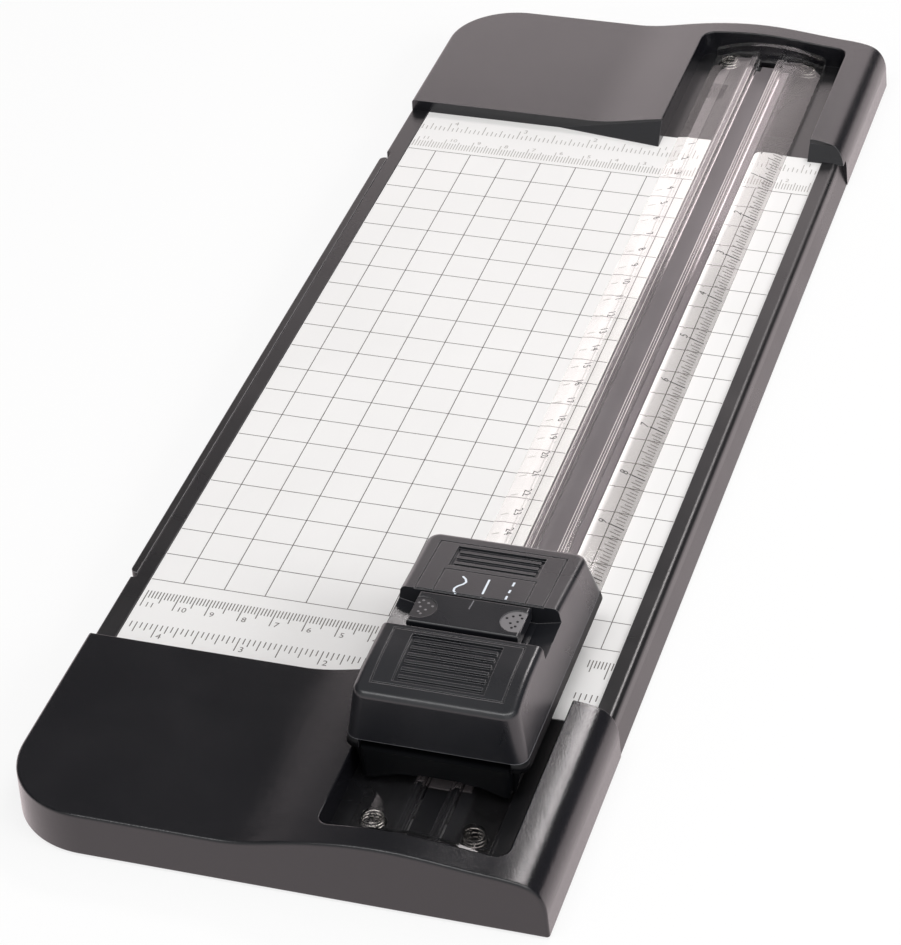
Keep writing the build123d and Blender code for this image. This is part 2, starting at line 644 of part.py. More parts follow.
def guide_spring_places():
    """Places of the four springs under the clear guide."""
    return [
        (CUT_X + side * SPRING_SPREAD, y)
        for side in (-1, 1)
        for y in (FRONT_SPRING_Y, REAR_SPRING_Y)
    ]


def arm_places():
    """Middles of the side ruler's two arms along Y."""
    return [BAR_FRONT_Y + ARM_INSET, BAR_REAR_Y - ARM_INSET]


ARM_TOP_Z = DECK_UNDER_Z - FIT_GAP
ARM_UNDER_Z = ARM_TOP_Z - ARM_THICKNESS
ARM_END_X = BAR_INNER_X + ARM_REACH
CHANNEL_Z = ARM_UNDER_Z - FIT_GAP - CHANNEL_LIP
CHANNEL_END_X = ARM_END_X + FIT_GAP + CHANNEL_WALL
BAR_TRAVEL = ARM_REACH - CHANNEL_FIRST_X - ARM_STOP_LENGTH


def bottom_screw_places():
    """Places of the screws that hold the bottom cover."""
    step = 2 * BOTTOM_SCREW_SPREAD_Y / (BOTTOM_SCREW_ROWS - 1)
    return [
        (side * BOTTOM_SCREW_SPREAD_X, -BOTTOM_SCREW_SPREAD_Y + row * step)
        for side in (-1, 1)
        for row in range(BOTTOM_SCREW_ROWS)
    ]


def make_tray():
    """Board body: deck, side walls, raised strip and rail, channels of the side ruler."""
    rail_x = SHEET_RIGHT_X + SEAT_GAP
    rail_edge_x = rail_x + RAIL_WIDTH
    section = polygon([
        (LEFT_X, SKIRT_Z),
        (LEFT_X, BOARD_Z + STRIP_RISE),
        (SHEET_LEFT_X - SEAT_GAP, BOARD_Z + STRIP_RISE),
        (SHEET_LEFT_X - SEAT_GAP, DECK_Z),
        (rail_x, DECK_Z),
        (rail_x, BOARD_Z + RAIL_RISE),
        (rail_edge_x, BOARD_Z + RAIL_RISE),
        (RIGHT_X - RAIL_FACE_X, BOARD_Z - RAIL_FACE_DROP),
        (RIGHT_X - RAIL_INSET, SKIRT_Z),
    ])
    middle = prism_y(section, FRONT_CAP_BACK_Y, REAR_CAP_FACE_Y - SEAT_GAP)
    tops = [edge for edge in middle.edges().filter_by(Axis.Y) if edge.center().Z > BOARD_Z + STRIP_RISE / 2]
    tops = ShapeList(tops).sort_by(Axis.X)
    middle = fillet(tops[-1], RAIL_ROUND)
    tops = [edge for edge in middle.edges().filter_by(Axis.Y) if edge.center().Z > BOARD_Z + STRIP_RISE / 2]
    middle = fillet(ShapeList(tops).sort_by(Axis.X)[0], STRIP_ROUND)
    lip_y = REAR_CAP_FACE_Y - WING_LIP_REACH
    middle = middle - box(CUT_X, RIGHT_X, lip_y, REAR_Y, BOARD_Z - SEAT_GAP, 2 * BOARD_Z)
    tray = middle + board_plan(0, SKIRT_Z, DECK_Z)
    tray = tray - board_plan(TRAY_WALL, 0, DECK_UNDER_Z)
    rail_hollow = box(
        0,
        RIGHT_X - RAIL_FACE_X - TRAY_WALL,
        FRONT_CAP_BACK_Y + TRAY_WALL,
        REAR_CAP_FACE_Y - WING_LIP_REACH - TRAY_WALL,
        0,
        DECK_UNDER_Z,
    )
    tray = tray - rail_hollow
    bar_pocket = slab(
        LEFT_X - BAR_WIDTH,
        BAR_INNER_X + FIT_GAP,
        BAR_FRONT_Y - BAR_END_GAP,
        BAR_REAR_Y + BAR_REAR_GAP,
        0,
        BOARD_Z + 2 * STRIP_RISE,
        BAR_WIDTH / 2,
    )
    tray = tray - bar_pocket
    side_wall_x = LEFT_X + SKIN + TRAY_WALL
    for y in arm_places():
        half = ARM_WIDTH / 2 + FIT_GAP
        outer = half + CHANNEL_WALL
        tray = tray + box(side_wall_x - WALL, CHANNEL_END_X, y - outer, y + outer, CHANNEL_Z, DECK_UNDER_Z)
        arm_z = ARM_UNDER_Z - FIT_GAP
        tray = tray - box(LEFT_X, ARM_END_X + FIT_GAP, y - half, y + half, arm_z, DECK_UNDER_Z)
        stop_x = BAR_INNER_X + CHANNEL_FIRST_X
        slot_half = CHANNEL_SLOT / 2
        tray = tray - box(stop_x, ARM_END_X + FIT_GAP, y - slot_half, y + slot_half, 0, ARM_UNDER_Z)
    for x, y in guide_spring_places():
        boss_z = DECK_UNDER_Z - DECK_BOSS_HEIGHT
        pocket_z = DECK_Z - SPRING_POCKET_DEPTH
        pocket_radius = GUIDE_SPRING_RADIUS + GUIDE_SPRING_WIRE + SPRING_POCKET_GAP
        tray = tray + post(x, y, boss_z, DECK_Z, DECK_BOSS_RADIUS)
        tray = tray - post(x, y, pocket_z, DECK_Z + WALL, pocket_radius)
        tray = tray - post(x, y, 0, DECK_Z, SPIGOT_RADIUS + SHAFT_GAP)
    mat_half = MAT_WIDTH / 2 + SEAT_GAP
    tab_half = MAT_TAB_WIDTH / 2 + SEAT_GAP
    tab_y = MAT_REAR_Y + MAT_TAB_LENGTH + SEAT_GAP
    front_y = MAT_FRONT_Y - SEAT_GAP
    rear_y = MAT_REAR_Y + SEAT_GAP
    tray = tray - box(CUT_X - mat_half, CUT_X + mat_half, front_y, rear_y, MAT_UNDER_Z, BOARD_Z)
    tray = tray - box(CUT_X - tab_half, CUT_X + tab_half, front_y, tab_y, MAT_UNDER_Z, BOARD_Z)
    hole_half = DECK_HOLE_WIDTH / 2
    tray = tray - box(CUT_X - hole_half, CUT_X + hole_half, tab_y, tab_y + DECK_HOLE_LENGTH, 0, BOARD_Z)
    window_x = CUT_X - WINDOW_X
    tray = tray - box(
        window_x - WINDOW_WIDTH / 2,
        window_x + WINDOW_WIDTH / 2,
        WINDOW_Y - WINDOW_LENGTH / 2,
        WINDOW_Y + WINDOW_LENGTH / 2,
        DECK_UNDER_Z - WALL,
        BOARD_Z,
    )
    for front in (True, False):
        for x, y in cap_boss_places(front):
            tray = tray - post(x, y, 0, DECK_Z + WALL, CAP_SCREW_RADIUS + SHAFT_GAP)
    for x, y in bottom_screw_places():
        tray = tray + post(x, y, BOTTOM_TOP_Z, DECK_UNDER_Z + WALL / 2, BOTTOM_BOSS_RADIUS)
        bore_top = BOTTOM_TOP_Z + BOTTOM_SCREW_LENGTH + SEAT_GAP
        tray = tray - post(x, y, 0, bore_top, BOTTOM_SCREW_RADIUS + SHAFT_GAP)
    return tray


def make_bottom():
    """Cover that closes the underside."""
    wide = box(
        0,
        RIGHT_X - RAIL_FACE_X - TRAY_WALL - FIT_GAP,
        FRONT_CAP_BACK_Y + TRAY_WALL + FIT_GAP,
        REAR_CAP_FACE_Y - WING_LIP_REACH - TRAY_WALL - FIT_GAP,
        BOTTOM_Z,
        BOTTOM_TOP_Z,
    )
    cover = board_plan(TRAY_WALL + FIT_GAP, BOTTOM_Z, BOTTOM_TOP_Z) + wide
    for x, y in bottom_screw_places():
        pocket_z = BOTTOM_Z + BOTTOM_HEAD_POCKET
        cover = cover - post(x, y, 0, pocket_z, BOTTOM_SCREW_HEAD_RADIUS + FIT_GAP)
        cover = cover - post(x, y, 0, BOTTOM_TOP_Z + WALL, BOTTOM_SCREW_RADIUS + SHAFT_GAP)
    return cover


def make_bottom_screws():
    """Screws of the bottom cover."""
    return [
        screw(
            x,
            y,
            BOTTOM_Z,
            BOTTOM_SCREW_LENGTH,
            BOTTOM_SCREW_RADIUS,
            BOTTOM_SCREW_HEAD_RADIUS,
            BOTTOM_HEAD_POCKET,
        )
        for x, y in bottom_screw_places()
    ]


def make_cap_screws():
    """Screws that hold the caps to the board from below."""
    z_head = DECK_UNDER_Z - CAP_SCREW_HEAD_HEIGHT
    length = DECK_THICKNESS + SHEET_THICKNESS + CAP_LOW_RISE - 2 * WALL
    return [
        screw(x, y, z_head, length, CAP_SCREW_RADIUS, CAP_SCREW_HEAD_RADIUS, CAP_SCREW_HEAD_HEIGHT)
        for front in (True, False)
        for x, y in cap_boss_places(front)
    ]


def make_feet():
    """Rubber pads under the bottom cover."""
    feet = []
    for x in (-FOOT_SPREAD_X, FOOT_SPREAD_X):
        for y in (-FOOT_SPREAD_Y, 0, FOOT_SPREAD_Y):
            pad = post(x, y, 0, BOTTOM_Z, FOOT_RADIUS)
            rim = pad.edges().filter_by(GeomType.CIRCLE).sort_by(Axis.Z)[0]
            feet.append(fillet(rim, FOOT_ROUND))
    return feet


def make_sheet(left):
    """Printed sheet on the deck, left or right of the mat."""
    y0 = FRONT_CAP_BACK_Y + SEAT_GAP
    y1 = REAR_CAP_FACE_Y + SHEET_TUCK
    mat_edge = MAT_WIDTH / 2 + 2 * SEAT_GAP
    if left:
        return box(SHEET_LEFT_X, CUT_X - mat_edge, y0, y1, DECK_Z, BOARD_Z)
    sheet = box(CUT_X + mat_edge, SHEET_RIGHT_X, y0, y1 - RIGHT_SHEET_SHORT, DECK_Z, BOARD_Z)
    corner = [edge for edge in sheet.edges().filter_by(Axis.Z) if edge.center().Y > 0]
    corner = ShapeList(corner).sort_by(Axis.X)[0]
    return fillet(corner, SHEET_CORNER)


def make_mat():
    """Cutting mat with its tab."""
    half = MAT_WIDTH / 2
    mat = box(CUT_X - half, CUT_X + half, MAT_FRONT_Y, MAT_REAR_Y, MAT_UNDER_Z, BOARD_Z)
    tab_half = MAT_TAB_WIDTH / 2
    tab_y = MAT_REAR_Y + MAT_TAB_LENGTH
    return mat + box(CUT_X - tab_half, CUT_X + tab_half, 0, tab_y, MAT_UNDER_Z, BOARD_Z)


def make_side_ruler():
    """Bar along the left edge with two arms that run under the deck."""
    top = BOARD_Z + STRIP_RISE
    bar = box(-RIGHT_X, BAR_INNER_X, BAR_FRONT_Y, BAR_REAR_Y, top - BAR_HEIGHT, top)
    corners = [edge for edge in bar.edges().filter_by(Axis.Z) if edge.center().X < LEFT_X]
    ruler = fillet(corners, BAR_WIDTH * 0.8)
    for y in arm_places():
        half = ARM_WIDTH / 2
        stop = ARM_STOP_WIDTH / 2
        stop_x = ARM_END_X - ARM_STOP_LENGTH
        bar_x = BAR_INNER_X - BAR_WIDTH / 2
        stop_z = ARM_UNDER_Z - ARM_STOP_HEIGHT
        ruler = ruler + box(bar_x, ARM_END_X, y - half, y + half, ARM_UNDER_Z, ARM_TOP_Z)
        ruler = ruler + box(stop_x, ARM_END_X, y - stop, y + stop, stop_z, ARM_UNDER_Z)
    return ruler


# ---- clear guide ---------------------------------------------------------------------------------
def wing_top(gap):
    """Top of the guide from the rib outwards, as distance from the cutting line and height."""
    return [
        (SLOT_HALF + RIB_THICKNESS + gap, BOARD_Z + RIB_RISE + gap),
        (SLOT_HALF + RIB_THICKNESS + gap, BOARD_Z + WING_RISE + gap),
        (GUIDE_HALF - 2 * WING_BEND_WIDTH, BOARD_Z + WING_RISE - 0.4 + gap),
        (GUIDE_HALF - WING_BEND_WIDTH, BOARD_Z + WING_BEND_RISE + gap),
        (GUIDE_HALF + gap, BOARD_Z + WING_EDGE_RISE + gap),
    ]


def make_guide():
    """Clear guide: two wings with slot ribs, joined by an end plate at each end."""
    foot_z = BOARD_Z + GUIDE_FOOT_GAP
    rib_out = SLOT_HALF + RIB_THICKNESS
    edge_z = BOARD_Z + WING_EDGE_RISE - WING_EDGE_THICKNESS
    bend_z = BOARD_Z + WING_BEND_RISE - WING_THICKNESS
    wing_z = BOARD_Z + WING_RISE - WING_THICKNESS
    key_z = BOARD_Z + KEYWAY_RISE
    half_section = (
        [(SLOT_HALF, foot_z), (SLOT_HALF, RIB_Z)]
        + wing_top(0)
        + [
            (GUIDE_HALF, edge_z),
            (GUIDE_HALF - WING_BEND_WIDTH, bend_z),
            (GUIDE_HALF - 2 * WING_BEND_WIDTH, wing_z - 0.4),
            (rib_out, wing_z),
            (rib_out, foot_z),
        ]
    )
    guide = None
    for side in (-1, 1):
        points = [(CUT_X + side * x, z) for x, z in half_section]
        wing = prism_y(polygon(points), GUIDE_FRONT_Y, GUIDE_REAR_Y)
        key_x = CUT_X + side * (SLOT_HALF + KEYWAY_DEPTH)
        key_0 = min(CUT_X, key_x)
        key_1 = max(CUT_X, key_x)
        wing = wing - box(key_0, key_1, FRONT_Y, REAR_Y, key_z, key_z + KEYWAY_HEIGHT)
        guide = wing if guide is None else guide + wing
    arch = [(GUIDE_HALF, edge_z), (GUIDE_HALF, BOARD_Z + END_PLATE_EDGE_RISE)]
    left_arch = (CUT_X - GUIDE_HALF, BOARD_Z + END_PLATE_EDGE_RISE)
    right_arch = (CUT_X + GUIDE_HALF, BOARD_Z + END_PLATE_EDGE_RISE)
    outline = ThreePointArc(left_arch, (CUT_X, BOARD_Z + END_PLATE_RISE), right_arch)
    outline = outline + Polyline(
        right_arch,
        (CUT_X + arch[0][0], edge_z),
        (CUT_X - arch[0][0], edge_z),
        left_arch,
    )
    plate = make_face(outline)
    guide = guide + prism_y(plate, GUIDE_FRONT_Y, GUIDE_FRONT_Y + FRONT_PLATE_THICKNESS)
    guide = guide + prism_y(plate, GUIDE_REAR_Y - REAR_PLATE_THICKNESS, GUIDE_REAR_Y)
    spigot_z = DECK_UNDER_Z - DECK_BOSS_HEIGHT - SEAT_GAP
    seat_z = BOARD_Z + SPRING_SEAT_RISE
    for x, y in guide_spring_places():
        seat_radius = GUIDE_SPRING_RADIUS + GUIDE_SPRING_WIRE + SEAT_GAP
        guide = guide + post(x, y, seat_z, seat_z + SPRING_SEAT_THICKNESS, seat_radius)
        guide = guide - post(x, y, BOARD_Z, seat_z, seat_radius)
        guide = guide + post(x, y, spigot_z, seat_z, SPIGOT_RADIUS)
        guide = guide - post(x, y, spigot_z, seat_z, GUIDE_SCREW_RADIUS + SHAFT_GAP)
    return guide


def make_guide_screws():
    """Screws in the guide's spigots, with heads that stop it under the deck."""
    z_head = DECK_UNDER_Z - DECK_BOSS_HEIGHT - SEAT_GAP - GUIDE_SCREW_HEAD_HEIGHT
    length = DECK_THICKNESS + DECK_BOSS_HEIGHT
    return [
        screw(
            x,
            y,
            z_head,
            length,
            GUIDE_SCREW_RADIUS,
            GUIDE_SCREW_HEAD_RADIUS,
            GUIDE_SCREW_HEAD_HEIGHT,
        )
        for x, y in guide_spring_places()
    ]


def make_guide_springs():
    """Springs that hold the guide above the paper."""
    z0 = DECK_Z - SPRING_POCKET_DEPTH
    z1 = BOARD_Z + SPRING_SEAT_RISE
    return [
        coil(x, y, z0, z1, GUIDE_SPRING_RADIUS, GUIDE_SPRING_WIRE, GUIDE_SPRING_TURNS)
        for x, y in guide_spring_places()
    ]


# ---- cutter head cover ---------------------------------------------------------------------------
def head_side(inset):
    """Side view of the cover, in Y and Z."""
    front = HEAD_FRONT_Y + inset
    rear = HEAD_REAR_Y - inset
    flat_y = SADDLE_FRONT_Y - RIDGE_FLAT
    front_top = (front + HEAD_FRONT_LEAN, HEAD_FRONT_Z - inset)
    rear_top = (rear - HEAD_REAR_LEAN, HEAD_REAR_Z - inset)
    ridge = HEAD_RIDGE_Z - inset
    brow = Spline((flat_y, ridge), front_top, tangents=((-1, 0), (-1, -0.22)))
    low = HEAD_SKIRT_Z - inset
    rest = Polyline(
        front_top,
        (front, low),
        (rear, low),
        rear_top,
        (SADDLE_REAR_Y, ridge),
        (flat_y, ridge),
    )
    return make_face(brow + rest)


def head_body(inset, round_corners):
    """Outside of the cover without its saddle; inset moves the skin inwards."""
    body = prism_x(head_side(inset), HEAD_X - 2 * HEAD_BOTTOM_HALF, HEAD_X + 2 * HEAD_BOTTOM_HALF)
    draft = (HEAD_BOTTOM_HALF - HEAD_TOP_HALF) / (HEAD_RIDGE_RISE - HEAD_SKIRT_RISE)
    top = WALL
    section = [
        (HEAD_BOTTOM_HALF - inset + draft * inset, HEAD_SKIRT_Z - inset),
        (HEAD_TOP_HALF - inset - draft * top, HEAD_RIDGE_Z + top),
    ]
    body = body & prism_y(polygon(mirrored(section, HEAD_X)), FRONT_Y, REAR_Y)
    if not round_corners:
        return body
    uprights = [
        edge
        for edge in body.edges()
        if edge.bounding_box().size.Z > HEAD_SKIRT_RISE
        and abs(edge.center().X - HEAD_X) > HEAD_TOP_HALF / 2
    ]
    body = fillet(uprights, HEAD_CORNER_RADIUS - inset)
    if inset:
        return body
    rim = [
        edge
        for edge in body.edges()
        if edge.center().Z > HEAD_REAR_Z - HEAD_EDGE_ROUND
        and (abs(edge.center().X - HEAD_X) > HEAD_TOP_HALF / 2
             or edge.center().Y < HEAD_FRONT_Y + HEAD_CORNER_RADIUS
             or edge.center().Y > HEAD_REAR_Y - HEAD_REAR_LEAN - HEAD_EDGE_ROUND)
    ]
    return fillet(rim, HEAD_EDGE_ROUND)


def saddle_block(grow):
    """Block of the saddle, or its walled block where grow is a wall."""
    far = 2 * HEAD_BOTTOM_HALF
    rise = SADDLE_SIDE_LIFT / (HEAD_TOP_HALF - SADDLE_FLAT_HALF)
    section = [
        (SADDLE_FLAT_HALF, SADDLE_Z - grow),
        (far, SADDLE_Z - grow + rise * (far - SADDLE_FLAT_HALF)),
        (far, 2 * HEAD_RIDGE_Z),
    ]
    return prism_y(polygon(mirrored(section, HEAD_X)), SADDLE_FRONT_Y - grow, SADDLE_REAR_Y + grow)


def ring_plan(x_half, y0, y1, z0, z1):
    """Upright frame one groove wide."""
    outer = box(TOP_X - x_half, TOP_X + x_half, y0, y1, z0, z1)
    inner_half = x_half - GROOVE_WIDTH
    inner = box(TOP_X - inner_half, TOP_X + inner_half, y0 + GROOVE_WIDTH, y1 - GROOVE_WIDTH, z0, z1)
    return outer - inner


def grip_ribs(y_end, count, length, z0, z1):
    """Ribs across a grip, evenly spaced from its rear end."""
    first = y_end - (length - (count - 1) * GRIP_PITCH) / 2
    half = GRIP_HALF - GRIP_RIB_WIDTH
    return [
        box(TOP_X - half, TOP_X + half, y - GRIP_RIB_WIDTH / 2, y + GRIP_RIB_WIDTH / 2, z0, z1)
        for y in (first - row * GRIP_PITCH for row in range(count))
    ]


def make_cover():
    """Cover of the cutter head, with saddle, grips, engraved borders and four guide pins."""
    outside = head_body(0, True)
    cover = outside - head_body(WALL, True)
    cover = cover + (saddle_block(WALL) & outside) - saddle_block(0)
    z0 = SADDLE_Z
    z1 = HEAD_RIDGE_Z + WALL

    def sunk(plan, depth):
        """Part of an upright block between the cover's top and a depth under it."""
        return (plan & outside) - Pos(0, 0, -depth) * outside

    grips = (
        (FRONT_GRIP_Y, FRONT_GRIP_LENGTH, FRONT_GRIP_RIBS, FRONT_GROOVE_END),
        (REAR_GRIP_Y, REAR_GRIP_LENGTH, REAR_GRIP_RIBS, REAR_GROOVE_END),
    )
    for y_end, length, count, beyond in grips:
        recess = box(TOP_X - GRIP_HALF, TOP_X + GRIP_HALF, y_end - length, y_end, z0, z1)
        for rib in grip_ribs(y_end, count, length, z0, z1):
            recess = recess - rib
            cover = cover - sunk(rib, GRIP_RIB_DEPTH)
        cover = cover - sunk(recess, GRIP_DEPTH)
    front_ring = ring_plan(
        GROOVE_HALF,
        FRONT_GRIP_Y - FRONT_GRIP_LENGTH - FRONT_GROOVE_END,
        FRONT_GRIP_Y + FRONT_GROOVE_END,
        z0,
        z1,
    )
    rear_ring = ring_plan(GROOVE_HALF, SADDLE_REAR_Y, REAR_GRIP_Y + REAR_GROOVE_END, z0, z1)
    tab_ring = ring_plan(TAB_HALF, SADDLE_REAR_Y, TAB_REAR_Y, z0, z1)
    for ring in (front_ring, rear_ring, tab_ring):
        cover = cover - sunk(ring, GROOVE_DEPTH)
    notch_half = HEAD_BOTTOM_HALF - HEAD_NOTCH_INSET
    notch_z = BOARD_Z + HEAD_END_SKIRT_RISE
    cover = cover - box(
        HEAD_X - notch_half,
        HEAD_X + notch_half,
        HEAD_FRONT_Y - WALL,
        HEAD_REAR_Y + WALL,
        0,
        notch_z,
    )
    pin_z = PIN_POCKET_Z - SEAT_GAP
    for x, y in PIN_PLACES:
        pin = post(x, y, PIN_ROOT_Z, HEAD_FRONT_Z, PIN_ROOT_RADIUS)
        pin = pin + post(x, y, pin_z, PIN_ROOT_Z, PIN_RADIUS)
        cover = cover + (pin & head_pin_limit(outside))
        bore_z = pin_z + COVER_SCREW_LENGTH + SEAT_GAP
        cover = cover - post(x, y, pin_z, bore_z, COVER_SCREW_RADIUS + SHAFT_GAP)
    neck_x = SELECT_PITCH + NECK_HALF + FIT_GAP
    neck_y = STEM_SLOT_HALF + FIT_GAP
    cover = cover - box(
        CUT_X - neck_x,
        CUT_X + neck_x,
        STATION_Y - neck_y,
        STATION_Y + neck_y,
        SADDLE_CEILING_Z - WALL,
        SADDLE_Z + WALL,
    )
    return cover


def head_pin_limit(outside):
    """Space a pin may fill: below the middle of the cover's roof wall."""
    drop = WALL / 2
    reach = HEAD_BOTTOM_HALF
    y_mid = (HEAD_FRONT_Y + HEAD_REAR_Y) / 2
    below = box(HEAD_X - reach, HEAD_X + reach, y_mid - reach * 2, y_mid + reach * 2, 0, HEAD_SKIRT_Z)
    return Pos(0, 0, -drop) * outside + below


def make_cover_screws():
    """Screws in the cover's pins, with heads that stop it under the carriage."""
    z_head = PIN_POCKET_Z - SEAT_GAP - COVER_SCREW_HEAD_HEIGHT
    return [
        screw(
            x,
            y,
            z_head,
            COVER_SCREW_LENGTH,
            COVER_SCREW_RADIUS,
            COVER_SCREW_HEAD_RADIUS,
            COVER_SCREW_HEAD_HEIGHT,
        )
        for x, y in PIN_PLACES
    ]


def make_cover_springs():
    """Springs that lift the cover off the carriage."""
    return [
        coil(x, y, PIN_BOSS_Z, PIN_ROOT_Z, COVER_SPRING_RADIUS, COVER_SPRING_WIRE, COVER_SPRING_TURNS)
        for x, y in PIN_PLACES
    ]


# ---- blades --------------------------------------------------------------------------------------
class Station:
    """Place of one blade: its side, its distance along the slot and its stem."""

    def __init__(self, name, place):
        self.name = name
        self.place = place
        self.y = STATION_Y - place * STATION_PITCH
        self.side = place if place else 1
        self.bar_x = CUT_X + place * SELECT_PITCH
        self.stem_x = CUT_X + self.side * SELECT_PITCH
        self.stem_y = self.y if place else self.y + STEM_SIDE_Y

    def across(self, near, far):
        """Span of X on this blade's side of the cutting line."""
        ends = (CUT_X + self.side * near, CUT_X + self.side * far)
        return min(ends), max(ends)

    def holder(self):
        """Side plate, bar that the selector presses, and guide stem."""
        plate_near = HUB_HALF + HOLDER_GAP
        plate_far = plate_near + HOLDER_PLATE
        x0, x1 = self.across(plate_near, plate_far)
        y0 = self.y - HOLDER_HALF_WIDTH
        y1 = self.y + HOLDER_HALF_WIDTH
        holder = box(x0, x1, y0, y1, BLADE_Z - HOLDER_DROP, HOLDER_TOP_Z)
        half = HOLDER_BAR_WIDTH / 2
        bar_y0 = min(self.stem_y, self.y, STATION_Y) - half
        bar_y1 = max(self.stem_y, self.y, STATION_Y) + half
        bar = box(self.bar_x - half, self.bar_x + half, bar_y0, bar_y1, HOLDER_BAR_Z, HOLDER_TOP_Z)
        arm_x0 = min(x0, self.stem_x - half)
        arm_x1 = max(x1, self.stem_x + half)
        arm = box(arm_x0, arm_x1, self.stem_y - half, self.stem_y + half, HOLDER_BAR_Z, HOLDER_TOP_Z)
        holder = holder + bar + arm
        stem_z = HOLDER_BAR_Z - STEM_LENGTH
        holder = holder + post(self.stem_x, self.stem_y, stem_z, HOLDER_BAR_Z, STEM_RADIUS)
        return holder - pin_x(x0 - 1, x1 + 1, self.y, BLADE_Z, AXLE_RADIUS + SHAFT_GAP)

    def axle(self):
        """Rivet through the blade and its holder."""
        near = -HUB_HALF - AXLE_PLAY
        far = HUB_HALF + HOLDER_GAP + HOLDER_PLATE + AXLE_PLAY
        x0, x1 = self.across(near, far)
        axle = pin_x(x0, x1, self.y, BLADE_Z, AXLE_RADIUS)
        axle = axle + pin_x(x0 - AXLE_HEAD_THICKNESS, x0, self.y, BLADE_Z, AXLE_HEAD_RADIUS)
        return axle + pin_x(x1, x1 + AXLE_HEAD_THICKNESS, self.y, BLADE_Z, AXLE_HEAD_RADIUS)

    def spring(self):
        """Spring that lifts the holder."""
        return coil(
            self.stem_x,
            self.stem_y,
            STEM_BOSS_Z,
            HOLDER_BAR_Z,
            HOLDER_SPRING_RADIUS,
            HOLDER_SPRING_WIRE,
            HOLDER_SPRING_TURNS,
        )

    def disc(self):
        """Plain round blade with its hub."""
        half = BLADE_THICKNESS / 2
        disc = pin_x(CUT_X - half, CUT_X + half, self.y, BLADE_Z, BLADE_RADIUS)
        disc = chamfer(disc.edges().filter_by(GeomType.CIRCLE), BLADE_BEVEL)
        disc = disc + pin_x(CUT_X - HUB_HALF, CUT_X + HUB_HALF, self.y, BLADE_Z, HUB_RADIUS)
        return disc - pin_x(CUT_X - 1, CUT_X + 1, self.y, BLADE_Z, AXLE_RADIUS + SHAFT_GAP)

    def wave_disc(self):
        """Blade whose rim steps from side to side."""
        half = BLADE_THICKNESS / 2
        middle = BLADE_RADIUS - WAVE_DEPTH
        disc = pin_x(CUT_X - half, CUT_X + half, self.y, BLADE_Z, middle)
        disc = disc + pin_x(CUT_X - HUB_HALF, CUT_X + HUB_HALF, self.y, BLADE_Z, HUB_RADIUS)
        ring = pin_x(-half, half, 0, 0, BLADE_RADIUS) - pin_x(-half, half, 0, 0, middle - WAVE_DEPTH / 2)
        turn = 180 / WAVE_COUNT
        spread = 2 * BLADE_RADIUS * math.tan(math.radians(turn / 2))
        wedge = prism_x(
            polygon([(0, 0), (2 * BLADE_RADIUS, -spread), (2 * BLADE_RADIUS, spread)]),
            -BLADE_THICKNESS,
            BLADE_THICKNESS,
        )
        petal = ring & wedge
        for step in range(2 * WAVE_COUNT):
            swing = WAVE_SWING if step % 2 else -WAVE_SWING
            place = Pos(CUT_X + swing, self.y, BLADE_Z) * Rot(turn * step, 0, 0)
            disc = disc + place * petal
        return disc - pin_x(CUT_X - 1, CUT_X + 1, self.y, BLADE_Z, AXLE_RADIUS + SHAFT_GAP)

    def notched_disc(self):
        """Blade with notches round its rim."""
        disc = self.disc()
        for step in range(NOTCH_COUNT):
            notch = Pos(0, 0, BLADE_RADIUS) * Box(2, NOTCH_WIDTH, 2 * NOTCH_DEPTH)
            disc = disc - Pos(CUT_X, self.y, BLADE_Z) * Rot(360 * step / NOTCH_COUNT, 0, 0) * notch
        return disc


STRAIGHT = Station("straight", 0)
WAVE = Station("wave", -1)
PERFORATING = Station("perforating", 1)
STATIONS = (STRAIGHT, WAVE, PERFORATING)


